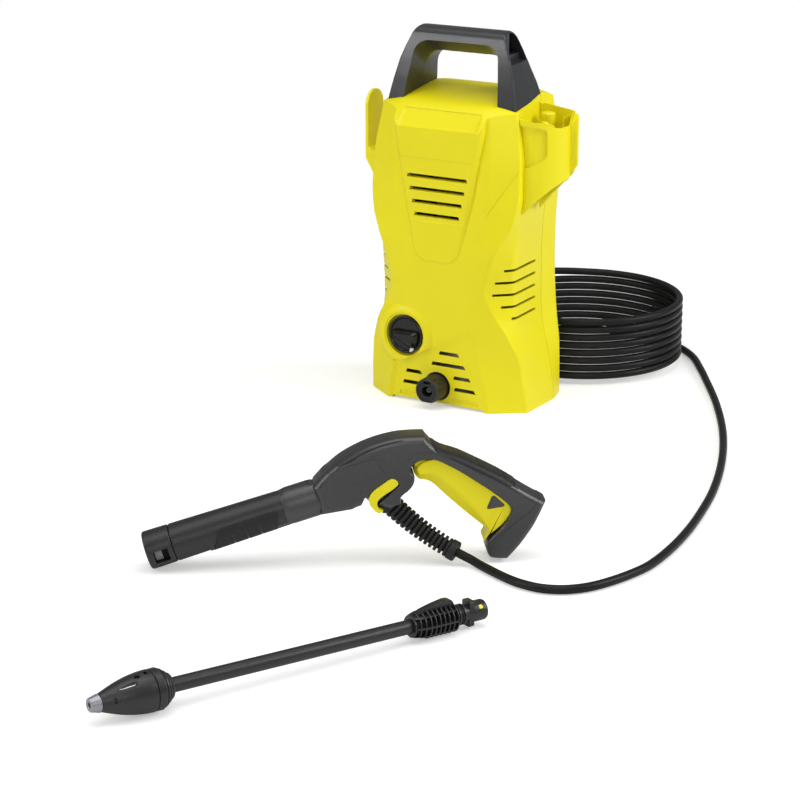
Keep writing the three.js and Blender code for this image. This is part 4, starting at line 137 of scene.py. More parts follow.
def noise(tree, scale, detail=2.0, rough=0.5, vector=None):
    vector = place(tree) if vector is None else vector
    return node(tree, "ShaderNodeTexNoise",
                {"Scale": scale, "Detail": detail, "Roughness": rough, "Vector": vector}).outputs["Fac"]


def build_mould_grain():
    """Fine spark-eroded grain of a moulding: rounded pits over a finer haze."""
    tree, given, out = group("mould_grain", {"Scale": 900.0, "Haze": 0.4}, ["Height"])
    cells = node(tree, "ShaderNodeTexVoronoi",
                 {"Smoothness": 0.6, "Vector": place(tree), "Scale": given["Scale"]}, feature="SMOOTH_F1")
    haze = noise(tree, math_node(tree, "MULTIPLY", given["Scale"], 2.1), 3.0)
    haze = math_node(tree, "MULTIPLY", haze, given["Haze"])
    fill(tree, out, {"Height": math_node(tree, "ADD", cells.outputs["Distance"], haze)})
    return tree


def build_edge_wear():
    """Mask of the outer edges, broken up by noise, where hands and floors have polished them."""
    tree, given, out = group("edge_wear", {"Radius": 0.0008, "Amount": 0.5}, ["Mask"])
    soft = node(tree, "ShaderNodeBevel", {"Radius": given["Radius"]}, samples=3)
    flat = node(tree, "ShaderNodeNewGeometry")
    dot = node(tree, "ShaderNodeVectorMath", {0: soft.outputs["Normal"], 1: flat.outputs["Normal"]},
               operation="DOT_PRODUCT")
    bend = math_node(tree, "SUBTRACT", 1.0, dot.outputs["Value"], True)
    edge = math_node(tree, "MULTIPLY", bend, 4.0, True)
    patches = math_node(tree, "MULTIPLY", noise(tree, 90.0, 4.0, 0.6), 1.3, True)
    mask = math_node(tree, "MULTIPLY", math_node(tree, "MULTIPLY", edge, patches), given["Amount"], True)
    fill(tree, out, {"Mask": mask})
    return tree


def build_use_marks():
    """Slow change over a surface from handling: a cloudy mask and fine stretched scuffs."""
    tree, given, out = group("use_marks", {"Cloud": 14.0, "Scuff": 0.3}, ["Mask", "Scuffs"])
    stretch = node(tree, "ShaderNodeMapping",
                   {"Scale": (30, 260, 90), "Rotation": (0.4, 0.7, 0.3), "Vector": place(tree)})
    lines = noise(tree, 3.0, 5.0, 0.7, stretch.outputs["Vector"])
    thin = math_node(tree, "MULTIPLY", math_node(tree, "SUBTRACT", lines, 0.62, True), 6.0, True)
    fill(tree, out, {"Mask": noise(tree, given["Cloud"], 3.0, 0.55),
                     "Scuffs": math_node(tree, "MULTIPLY", thin, given["Scuff"])})
    return tree


mould_grain, edge_wear, use_marks = build_mould_grain(), build_edge_wear(), build_use_marks()


def moulded(name, colour, shade, worn, rough, grain=900.0, depth=0.06, wear=0.35, scuff=0.3, metallic=0.0,
            specular=0.5, spread=0.08):
    """One finish: base colour drifting to its shade, worn edges, scuffs, and a fine grain in the surface."""
    material = bpy.data.materials.new(name)
    material.use_nodes = True
    tree = material.node_tree
    grains = node(tree, "ShaderNodeGroup", {"Scale": grain}, node_tree=mould_grain)
    edges = node(tree, "ShaderNodeGroup", {"Amount": wear}, node_tree=edge_wear)
    marks = node(tree, "ShaderNodeGroup", {"Scuff": scuff}, node_tree=use_marks)
    cloud = marks.outputs["Mask"]
    drift = math_node(tree, "MULTIPLY", math_node(tree, "SUBTRACT", cloud, 0.35, True), 1.6, True)
    body = mix_colour(tree, drift, (*colour, 1), (*shade, 1))
    level = math_node(tree, "MULTIPLY", math_node(tree, "SUBTRACT", cloud, 0.5), spread * 2)
    level = math_node(tree, "ADD", level, rough)
    scuffs = math_node(tree, "MULTIPLY", marks.outputs["Scuffs"], 0.25)
    bump = node(tree, "ShaderNodeBump",
                {"Strength": depth * 5, "Distance": 0.0002, "Height": grains.outputs["Height"]})
    fill(tree, tree.nodes["Principled BSDF"],
         {"Base Color": mix_colour(tree, edges.outputs["Mask"], body, (*worn, 1)),
          "Roughness": math_node(tree, "ADD", level, scuffs, True), "Normal": bump.outputs["Normal"],
          "Metallic": metallic, "Specular IOR Level": specular})
    return material


YELLOW = moulded("yellow_moulding", (0.87, 0.775, 0.005), (0.84, 0.74, 0.004), (0.92, 0.86, 0.16), 0.38,
                 1100, 0.05, 0.25, 0.12, specular=0.35, spread=0.05)
YELLOW_GLOSS = moulded("yellow_clip_moulding", (0.87, 0.77, 0.005), (0.83, 0.72, 0.004), (0.93, 0.87, 0.2),
                       0.3, 1300, 0.03, 0.25, 0.2)
DARK_GREY = moulded("dark_grey_moulding", (0.026, 0.027, 0.030), (0.020, 0.021, 0.024), (0.1, 0.105, 0.115),
                    0.3, 800, 0.12, 0.4, 0.3, specular=0.8)
GUN_BLACK = moulded("gun_black_moulding", (0.018, 0.018, 0.0192), (0.013, 0.013, 0.014), (0.07, 0.07, 0.075),
                    0.38, 850, 0.12, 0.35, 0.4, specular=0.9)
BLACK = moulded("black_moulding", (0.0145, 0.0145, 0.0155), (0.010, 0.010, 0.011), (0.06, 0.06, 0.065), 0.36,
                850, 0.12, 0.35, 0.4)
SOFT_BLACK = moulded("soft_black_moulding", (0.013, 0.013, 0.014), (0.009, 0.009, 0.010),
                     (0.055, 0.055, 0.057), 0.5, 700, 0.22, 0.3, 0.3, specular=0.35)
GLOSS_BLACK = moulded("gloss_black_knob", (0.006, 0.006, 0.0065), (0.0045, 0.0045, 0.005),
                      (0.03, 0.03, 0.033), 0.22, 900, 0.015, 0.1, 0.3, specular=0.4)
RUBBER = moulded("rubber", (0.010, 0.010, 0.0105), (0.007, 0.007, 0.0075), (0.035, 0.035, 0.035), 0.38, 600,
                 0.12, 0.25, 0.4, specular=0.2)
# White for the knob's printed pill mark. The same white also makes the painted highlight strip in the
# nozzle's slide recess.
WHITE_PRINT_AND_PAINTED_HIGHLIGHT = moulded("white_mark", (0.78, 0.78, 0.76), (0.7, 0.7, 0.68), (0.85, 0.85, 0.85), 0.45, 900, 0.02,
                     0.0, 0.1)
BRASS = moulded("turned_brass", (0.62, 0.45, 0.17), (0.5, 0.35, 0.12), (0.8, 0.65, 0.3), 0.3, 1400, 0.05,
                0.4, 0.5, metallic=1.0)
STEEL = moulded("drawn_steel", (0.42, 0.43, 0.45), (0.33, 0.34, 0.36), (0.62, 0.63, 0.65), 0.32, 1500, 0.06,
                0.4, 0.6, metallic=1.0)
CAST = moulded("cast_aluminium", (0.5, 0.51, 0.52), (0.4, 0.41, 0.42), (0.68, 0.69, 0.7), 0.52, 420, 0.3,
               0.3, 0.4, metallic=1.0)
COPPER = moulded("wound_copper", (0.42, 0.19, 0.08), (0.32, 0.14, 0.06), (0.6, 0.32, 0.16), 0.36, 1200, 0.1,
                 0.2, 0.5, metallic=1.0)
GREY_PART = moulded("grey_moulding", (0.2, 0.205, 0.21), (0.16, 0.165, 0.17), (0.4, 0.4, 0.41), 0.4, 900,
                    0.06, 0.3, 0.3)
NOSE_METAL = moulded("nozzle_mouth", (0.33, 0.34, 0.36), (0.26, 0.27, 0.29), (0.6, 0.6, 0.62), 0.3, 1300,
                     0.05, 0.4, 0.4, metallic=0.6)


# ---- mesh tools, all in millimetres
JOIN_WITHIN = 0.02
FAR = 300


def outward(verts, faces):
    """Mesh with its doubled points joined and every face turned outwards."""
    data = bpy.data.meshes.new("part")
    data.from_pydata([tuple(v) for v in verts], [], faces)
    bm = bmesh.new()
    bm.from_mesh(data)
    bmesh.ops.remove_doubles(bm, verts=bm.verts, dist=1e-4)
    bmesh.ops.recalc_face_normals(bm, faces=bm.faces)
    bm.to_mesh(data)
    bm.free()
    return data


def lofted(rings, closed=False):
    """Skin through equal rings. With closed the last ring joins the first, else both ends get a face."""
    n, m = len(rings[0]), len(rings)
    faces = []
    for i in range(m if closed else m - 1):
        k = (i + 1) % m
        for j in range(n):
            a, b = i * n + j, i * n + (j + 1) % n
            faces.append((a, b, k * n + (j + 1) % n, k * n + j))
    if not closed:
        faces.append(tuple(range(n))[::-1])
        faces.append(tuple(range((m - 1) * n, m * n)))
    return outward([p for ring in rings for p in ring], faces)


def turned(profile, sides=48, pose=None, closed=False):
    """Body of revolution about x from (x, radius) pairs. With closed the pairs run round a hollow ring."""
    rings = [[Vector((x, r * math.cos(math.tau * i / sides), r * math.sin(math.tau * i / sides)))
              for i in range(sides)] for x, r in profile]
    data = lofted(rings, closed)
    if pose is not None:
        data.transform(pose)
    return data


def rod(x0, x1, radius, sides=48, pose=None):
    return turned([(x0, radius), (x1, radius)], sides, pose)


def along_y(x, z):
    return Matrix(((0, -1, 0, x), (1, 0, 0, 0), (0, 0, 1, z), (0, 0, 0, 1)))


def along_z(x, y):
    return Matrix(((0, 0, -1, x), (0, 1, 0, y), (1, 0, 0, 0), (0, 0, 0, 1)))


def pushed(points, y0, y1):
    """Outline in x and z, pushed from y0 to y1."""
    return lofted([[(x, y, z) for x, z in points] for y in (y0, y1)])


def upright(points, z0, z1):
    """Outline in x and y, pushed from z0 to z1."""
    return lofted([[(x, y, z) for x, y in points] for z in (z0, z1)])


def sideways(points, x0, x1):
    """Outline in y and z, pushed from x0 to x1."""
    return lofted([[(x, y, z) for y, z in points] for x in (x0, x1)])


def rect(x0, x1, y0, y1):
    return [(x0, y0), (x1, y0), (x1, y1), (x0, y1)]


def block(x0, x1, y0, y1, z0, z1, pose=None):
    data = upright(rect(x0, x1, y0, y1), z0, z1)
    if pose is not None:
        data.transform(pose)
    return data


def hermite(p, q, slope_p, slope_q, t):
    """Point on the curve from p to q that leaves and arrives with the given slopes."""
    near, far = 2 * t ** 3 - 3 * t * t + 1, 3 * t * t - 2 * t ** 3
    leave, arrive = t ** 3 - 2 * t * t + t, t ** 3 - t * t
    return p * near + slope_p * leave + q * far + slope_q * arrive


def bow(a, corner, b, t):
    """Point on the short curve from a to b that the corner pulls outwards."""
    return a * (1 - t) ** 2 + corner * 2 * t * (1 - t) + b * t * t


def rounded(points, radius, steps=4):
    """Outline or path ring with its corners turned into short curves."""
    radii = radius if isinstance(radius, list) else [radius] * len(points)
    made = []
    for i, p in enumerate(points):
        p = Vector(p)
        before, after = Vector(points[i - 1]), Vector(points[(i + 1) % len(points)])
        reach = min(radii[i], (before - p).length * 0.46, (after - p).length * 0.46)
        a = p + (before - p).normalized() * reach
        b = p + (after - p).normalized() * reach
        made += [bow(a, p, b, k / steps) for k in range(steps + 1)]
    return made


def smooth_closed(points, steps=3, sharp=()):
    """Closed outline run through its points by a soft curve; points named in sharp stay corners."""
    n = len(points)
    made = []
    for i in range(n):
        p0, p1, p2, p3 = (Vector(points[(i + k) % n]) for k in (-1, 0, 1, 2))
        slope1 = Vector([0] * len(p1)) if i in sharp else (p2 - p0) / 2
        slope2 = Vector([0] * len(p1)) if (i + 1) % n in sharp else (p3 - p1) / 2
        span = (p2 - p1).length
        for slope in (slope1, slope2):
            if slope.length > span:
                slope *= span / slope.length
        made += [hermite(p1, p2, slope1, slope2, k / steps) for k in range(steps)]
    return made


def inset(points, distance):
    """Outline moved inwards, by one distance or by one for each point."""
    n = len(points)
    reach = distance if isinstance(distance, list) else [distance] * n
    area = sum(points[i][0] * points[(i + 1) % n][1] - points[(i + 1) % n][0] * points[i][1]
               for i in range(n))
    side = 1 if area > 0 else -1
    made = []
    for i, p in enumerate(points):
        p = Vector(p)
        before = (p - Vector(points[i - 1])).normalized()
        after = (Vector(points[(i + 1) % n]) - p).normalized()
        normal = Vector((-(before.y + after.y), before.x + after.x)) * side
        made.append(p + normal * (reach[i] / max(normal.length_squared / 2, 0.5)))
    return made


def mirrored(half):
    """Closed ring from one half, whose first point lies in the middle."""
    return [Vector(p) for p in half] + [Vector((-x, y)) for x, y in reversed(half[1:])]


def boolean(operation, base, tools):
    holder = placed("base", base)
    helpers = []
    for tool in tools:
        helpers.append(placed("tool", tool))
        step = holder.modifiers.new("step", "BOOLEAN")
        step.operation = operation
        step.solver = "MANIFOLD"
        step.object = helpers[-1]
    depsgraph = bpy.context.evaluated_depsgraph_get()
    made = bpy.data.meshes.new_from_object(holder.evaluated_get(depsgraph))
    for helper in [holder, *helpers]:
        bpy.data.objects.remove(helper)
    return made


def cut(base, *tools):
    return boolean("DIFFERENCE", base, tools)


def joined(base, *tools):
    return boolean("UNION", base, tools)


def shared(base, *tools):
    return boolean("INTERSECT", base, tools)


def tidy(data, angle=1.0):
    """Doubled points joined and needless edges on flat areas dissolved."""
    bm = bmesh.new()
    bm.from_mesh(data)
    bmesh.ops.remove_doubles(bm, verts=bm.verts, dist=JOIN_WITHIN)
    bmesh.ops.dissolve_limit(bm, angle_limit=math.radians(angle), verts=bm.verts, edges=bm.edges)
    bmesh.ops.dissolve_degenerate(bm, edges=bm.edges, dist=JOIN_WITHIN)
    bm.to_mesh(data)
    bm.free()
    return data


def cover(obj, material, width, segments, angle):
    """The material, rounded edges of that width in millimetres, and even shading over the flats."""
    obj.data.materials.clear()
    obj.data.materials.append(material)
    for polygon in obj.data.polygons:
        polygon.use_smooth = True
    if width:
        edge = obj.modifiers.new("rounded_edges", "BEVEL")
        edge.width = width * MM
        edge.segments = segments
        edge.limit_method = "ANGLE"
        edge.angle_limit = math.radians(angle)
        edge.miter_outer = "MITER_ARC"
        edge.use_clamp_overlap = True
    even = obj.modifiers.new("even_shading", "WEIGHTED_NORMAL")
    even.keep_sharp = True
    even.weight = 50


def piece(name, data, material, stands_for=(), edge=0.0, segments=2, angle=28, body="washer", space=UNIT):
    """A visible piece that rides a body and takes the place of the named CAD nodes."""
    data.name = name
    data.transform(space)
    obj = placed(name, data)
    cover(obj, material, edge, segments, angle)
    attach(obj, body)
    if stands_for:
        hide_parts(*stands_for)
    return obj


on_gun = partial(piece, space=GUN)
on_barrel = partial(piece, space=GUN @ BARREL)
on_lance = partial(piece, body="lance", space=LANCE)


def dress(name, material, edge):
    """A CAD node that keeps its shape and gets rounded edges and a finish."""
    weld = nodes[name].modifiers.new("joined_points", "WELD")
    weld.merge_threshold = 0.00001
    cover(nodes[name], material, edge, 2, 30)


# ---- hose: its free stretch on the floor, then its coil
HOSE_REST = 4.6
HOSE_FALL = [(296.5, -503.6, 6.6), (308, -507.3, 4.9)]
HOSE_ROUTE = [
    (321, -513), (338, -520.6), (352, -526), (367, -529.8), (389, -530.2), (409, -521.5), (425, -504.5),
    (437, -479), (445.5, -450), (450, -424), (449, -376), (442, -318), (431, -262), (412, -186),
    (379, -90), (337, 6), (286, 101), (240, 176), (208, 226), (178, 268), (144, 298),
]
COIL_X, COIL_Y, COIL_RADIUS, COIL_PITCH, COIL_LAST_RISE = 58.5, 206, 116.5, 9.6, 6.6
COIL_LOOPS = 8
COIL_START, COIL_END = math.radians(75), math.radians(190 + 360 * COIL_LOOPS)
COIL_RISE_SPAN = math.radians(80)
COIL_STEPS = 72 * COIL_LOOPS + 23
BOOT_END = Vector((282, -506.5, 12.5))
BOOT_DISCS, BOOT_SIDES, BOOT_SAMPLES, BOOT_COLLAR, BOOT_SLEEVE = 13, 32, 40, 9.0, 9.0
BOOT_RIB = ((0, 3.2), (0.3, 3.2), (0.36, 0.5), (0.46, 0), (0.84, 0), (0.94, 0.5), (0.98, 3.2))


def through(points, steps):
    """Even curve through points, the same kind as the part's route."""
    ends = [points[0] * 2 - points[1], *points, points[-1] * 2 - points[-2]]
    made = []
    for i in range(1, len(ends) - 2):
        p0, p1, p2, p3 = ends[i - 1:i + 3]
        d0, d1, d2 = ((b - a).length ** 0.5 for a, b in ((p0, p1), (p1, p2), (p2, p3)))
        m1 = ((p1 - p0) / d0 - (p2 - p0) / (d0 + d1) + (p2 - p1) / d1) * d1
        m2 = ((p2 - p1) / d1 - (p3 - p1) / (d1 + d2) + (p3 - p2) / d2) * d1
        made += [hermite(p1, p2, m1, m2, k / steps) for k in range(steps)]
    return [*made, points[-1]]


def coil_point(angle):
    s = min(max((angle - (COIL_END - COIL_RISE_SPAN)) / COIL_RISE_SPAN, 0), 1)
    height = HOSE_REST + COIL_PITCH * (angle - COIL_START) / math.tau + COIL_LAST_RISE * s * s * (3 - 2 * s)
    return Vector((COIL_X + COIL_RADIUS * math.cos(angle), COIL_Y + COIL_RADIUS * math.sin(angle), height))


def boot_axis(distance):
    """Point on the line in which the boot leaves the gun."""
    fall = math.radians(-COUPLING_FALL)
    place = Vector((COUPLING_X + distance * math.cos(fall), 0, COUPLING_Z + distance * math.sin(fall)))
    return UNIT.inverted() @ (GUN @ place)


boot_start, boot_control = boot_axis(0.3), boot_axis(50)


def boot_at(t):
    return bow(boot_start, boot_control, BOOT_END, t)


boot_along = (BOOT_END - boot_control).normalized()
coil = [coil_point(COIL_START + (COIL_END - COIL_START) * i / COIL_STEPS) for i in range(COIL_STEPS + 1)]
coil_in, coil_out = (Vector((-math.sin(a), math.cos(a), 0)) for a in (COIL_START, COIL_END))
lead = coil[0] - coil_in * 9
free = through([*[BOOT_END + boot_along * d for d in (-6, 0.3, 4.8)], *[Vector(p) for p in HOSE_FALL],
                *[Vector((*p, HOSE_REST)) for p in HOSE_ROUTE], lead - coil_in * 9.3, lead], 6)
hose_line = [*free, *coil, coil[-1] + coil_out * 9]

curve = bpy.data.curves.new("hose", "CURVE")
curve.dimensions = "3D"
curve.bevel_depth = 0.0045
curve.bevel_resolution = 5
curve.use_fill_caps = True
spline = curve.splines.new("POLY")
spline.points.add(len(hose_line) - 1)
for target, point in zip(spline.points, hose_line):
    target.co = (*(UNIT @ point), 1)
hose = placed("hose", curve)
curve.materials.append(RUBBER)
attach(hose, "washer")
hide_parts("hose_free", "hose_coil")


def boot_rings():
    """Ribbed bend protector: a collar, discs on a core that grow smaller, and an end sleeve."""
    length = sum((boot_at((i + 1) / BOOT_SAMPLES) - boot_at(i / BOOT_SAMPLES)).length
                 for i in range(BOOT_SAMPLES))
    pitch = (length - BOOT_COLLAR - BOOT_SLEEVE) / BOOT_DISCS
    stations = [(0, 10.4), (0, 11.6), (0.6, 12), (BOOT_COLLAR * 0.8, 12), (BOOT_COLLAR * 0.93, 11.4)]
    for i in range(BOOT_DISCS):
        r = 11 - 1.4 * i / BOOT_DISCS
        s = BOOT_COLLAR + pitch * i
        stations += [(s + pitch * share, r - drop) for share, drop in BOOT_RIB]
    s = length - BOOT_SLEEVE
    stations += [(s, 7.6), (s + 0.2, 9.8), (s + 1, 10.4), (length - 1.2, 10.4), (length - 0.3, 9.8),
                 (length, 9.2)]
    rings = []
    for s, r in stations:
        t = min(s / length, 1)
        ahead = (boot_at(min(t + 0.01, 1)) - boot_at(max(t - 0.01, 0))).normalized()
        side = ahead.cross(Vector((0, 0, 1))).normalized()
        top = side.cross(ahead).normalized()
        turns = [math.tau * j / BOOT_SIDES for j in range(BOOT_SIDES)]
        rings.append([boot_at(t) + side * r * math.cos(a) + top * r * math.sin(a) for a in turns])
    return rings


boot = piece("ribbed_boot", lofted(boot_rings()), SOFT_BLACK, stands_for=["bend_protector"])

out_x, out_y = coil_out.x, coil_out.y
connector_turn = Matrix(((out_x, -out_y, 0, 0), (out_y, out_x, 0, 0), (0, 0, 1, 0), (0, 0, 0, 1)))
connector_pose = Matrix.Translation(coil[-1] + coil_out * 9.3) @ connector_turn
nut = [(0, 4.6), (0, 6.2), (0.5, 6.6), (12, 6.6), (16, 6.4), (16, 9.4), (16.6, 10)]
nut += [(18 + i * 2, 10 - 0.7 * (i % 2)) for i in range(10)]
nut += [(39.2, 10), (40, 9.3), (40, 5.4), (52, 5.4), (53, 4.8), (53, 2.4), (30, 2.4)]
connector = piece("hose_end_connector", turned(nut, 40, connector_pose), BRASS,
                  stands_for=["hose_connector"])


# ---- body of the unit
BODY_HALF_WIDTH, BODY_HALF_DEPTH, BODY_HEIGHT, BODY_WALL = 107, 66, 353, 3.0
SEAM_Y, SEAM_GAP = 30, 0.4
KNOB_X, KNOB_Z, KNOB_RECESS = -43, 80.7, 25.5
OUTLET_Z = 23
KNOB_AXIS, OUTLET_AXIS = along_y(KNOB_X, KNOB_Z), along_y(0, OUTLET_Z)
BODY_LEVELS = [
    (0, 1, 0.63, 1, 0.57, 1, 0.23, 1, 0.888),
    (0.1, 1, 0.54, 0.972, 0.65, 0.966, 0.23, 0.96, 0.888),
    (0.187, 1, 0.47, 0.935, 0.71, 0.92, 0.27, 0.89, 0.88),
    (0.27, 1.015, 0.42, 0.824, 0.85, 0.86, 0.45, 0.825, 0.845),
    (0.334, 1.025, 0.42, 0.69, 0.92, 0.838, 0.58, 0.807, 0.825),
    (0.411, 1.035, 0.43, 0.575, 1, 0.832, 0.62, 0.804, 0.808),
    (0.516, 1.03, 0.51, 0.663, 1.015, 0.838, 0.64, 0.8, 0.803),
    (0.561, 1.02, 0.54, 0.735, 1, 0.846, 0.62, 0.807, 0.805),
    (0.632, 0.99, 0.56, 0.868, 0.865, 0.872, 0.56, 0.823, 0.813),
    (0.722, 0.96, 0.58, 0.925, 0.775, 0.907, 0.45, 0.85, 0.832),
    (0.85, 0.94, 0.58, 0.916, 0.7, 0.897, 0.42, 0.86, 0.832),
    (0.977, 0.9, 0.56, 0.85, 0.62, 0.841, 0.38, 0.79, 0.77),
    (1.1, 0.8, 0.54, 0.79, 0.55, 0.78, 0.36, 0.73, 0.7),
]


def fine_levels(rows, share=4):
    """Rows between the given ones, partly on a soft curve, that keep each row's own values."""
    softness = 0.55
    made = []
    for i in range(len(rows) - 1):
        p0, p1, p2, p3 = (rows[min(max(i + k, 0), len(rows) - 1)] for k in (-1, 0, 1, 2))
        for k in range(share):
            t = k / share
            row = []
            for a, b, c, d in zip(p0, p1, p2, p3):
                m1, m2 = (c - a) / 2, (d - b) / 2
                if (b - a) * (c - b) <= 0:
                    m1 = 0
                if (c - b) * (d - c) <= 0:
                    m2 = 0
                row.append(hermite(b, c, m1, m2, t) * softness + (b + (c - b) * t) * (1 - softness))
            row[0] = p1[0] + (p2[0] - p1[0]) * t
            made.append(tuple(row))
    return [*made, rows[-1]]


def body_ring(row, wall):
    """The body's plan at one level, moved inwards by the wall."""
    height, front, flat, crease_x, crease_y, bend_x, bend_y, seam_x, rear_x = row
    w, d = BODY_HALF_WIDTH, BODY_HALF_DEPTH
    half = [(0, -(front * d - wall)), (flat * w - wall / 2, -(front * d - wall)),
            (crease_x * w - wall, -(crease_y * d - wall)), (bend_x * w - wall, -bend_y * d),
            (seam_x * w - wall, SEAM_Y), (rear_x * w + 2.5 - wall, 62), (rear_x * w - 7, d + 6 - wall)]
    radii = [0.5, 6, 2.5, 5, 10, 5, 6, 6, 5, 10, 5, 2.5, 6]
    return [Vector((p.x, p.y, height * BODY_HEIGHT)) for p in rounded(mirrored(half), radii)]


fine_body = fine_levels(BODY_LEVELS)


def body_loft(wall):
    return lofted([body_ring(row, wall) for row in fine_body])


CROWN = [(-1.2, 0.905), (-1.06, 0.938), (-0.97, 0.971), (-0.85, 0.994), (-0.65, 1.018), (-0.2, 1.034),
         (0.18, 1.045), (0.55, 1.051), (0.92, 1.036), (1.2, 0.99)]
SHOULDER_X, SHOULDER_SOFT, SHOULDER_DROP, SHOULDER_RUN = 60, 8, 12.5, 47


def crown(lower):
    """Everything below the domed top."""
    line = through([Vector((y * BODY_HALF_DEPTH, z * BODY_HEIGHT - lower, 0)) for y, z in CROWN], 5)
    rings = []
    for x in (-141, -125, -107, -90, -76, -66, -58, -50, -40, 0, 40, 50, 58, 66, 76, 90, 107, 125, 141):
        over = max(abs(x) - SHOULDER_X, 0)
        drop = 0
        if over > SHOULDER_SOFT:
            drop = over * SHOULDER_DROP / SHOULDER_RUN
        elif abs(x) > SHOULDER_X - SHOULDER_SOFT:
            drop = (over + SHOULDER_SOFT) ** 2 / (4 * SHOULDER_SOFT) * SHOULDER_DROP / SHOULDER_RUN
        rings.append([Vector((x, line[0].x, -12)), *[Vector((x, p.x, p.y - drop)) for p in line],
                      Vector((x, line[-1].x, -12))])
    return lofted(rings)


def panel_ring(grow, y):
    """Outline of the raised front panel at one depth."""
    half = [(0, 388), (56 + grow, 388), (54.4 + grow, 332), (27.7 + grow, 184),
            (16.6 + grow * 0.6, 177 - grow)]
    ring = rounded(mirrored(half), [0.5, 1, 30, 12, 14, 14, 12, 30, 1], 5)
    return [Vector((p.x, y, p.y)) for p in ring]


SLOT_FRONT_Y, SLOT_BACK_Y, SLOT_HEIGHT = -75.5, -52.8, 4.6


def slot(x0, x1, z, height=SLOT_HEIGHT, left=0.6, right=0.6):
    """Slot through the front, a little wider at its lower edge."""
    points = [(x0 - left, z - height / 2), (x1 + right, z - height / 2), (x1 - right, z + height / 2),
              (x0 + left, z + height / 2)]
    return pushed(rounded(points, 0.9, 3), SLOT_FRONT_Y, SLOT_BACK_Y)


VENT_TOP_Z, VENT_PITCH, VENT_HALF = 171, 14.6, 1.6
VENT_NEAR, VENT_FAR = (89, -41), (68, -57)


def side_vents():
    """Slots that run round the body's side creases, each with its own reach to the front."""
    made = []
    for i, share in enumerate((0.5, 0.9, 1, 0.6, 0.1)):
        z = VENT_TOP_Z - i * VENT_PITCH
        tip_x, tip_y = (near + (far - near) * share for near, far in zip(VENT_NEAR, VENT_FAR))
        for side in (1, -1):
            path = [(side * (tip_x + 9), tip_y - 9), (side * 98, -41), (side * 98, 15), (side * 80, 15),
                    (side * 80, -36.5), (side * (tip_x - 4.5), tip_y + 4.5)]
            made.append(upright(path, z - VENT_HALF, z + VENT_HALF))
    return made


SCREWS = 6


def screw_places():
    """Where the CAD screws stand, in millimetres in the part's layout."""
    made = []
    for i in range(SCREWS):
        lo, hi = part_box(f"housing_screw_{i + 1}")
        middle = UNIT.inverted() @ ((lo + hi) / 2)
        made.append((middle.x, middle.z))
    return made


# Raised round collar round the knob: a soft outer slope, a rounded rim
BOSS = [(-57, 0.01), (-56, 42), (-60, 41.5), (-63.5, 40), (-65.8, 38), (-67.6, 35.6), (-69, 33),
        (-69.8, 31.2), (-70.2, 29.6), (-70.1, 28.2), (-69.5, 27.2), (-68.6, 26.6), (-68.6, 0.01)]
TOP_SLOT_Z, TOP_SLOT_PITCH = 275, 15
LOW_SLOT_Z, LOW_SLOT_PITCH, LOW_SLOT_REACH = 64.5, 14, 56


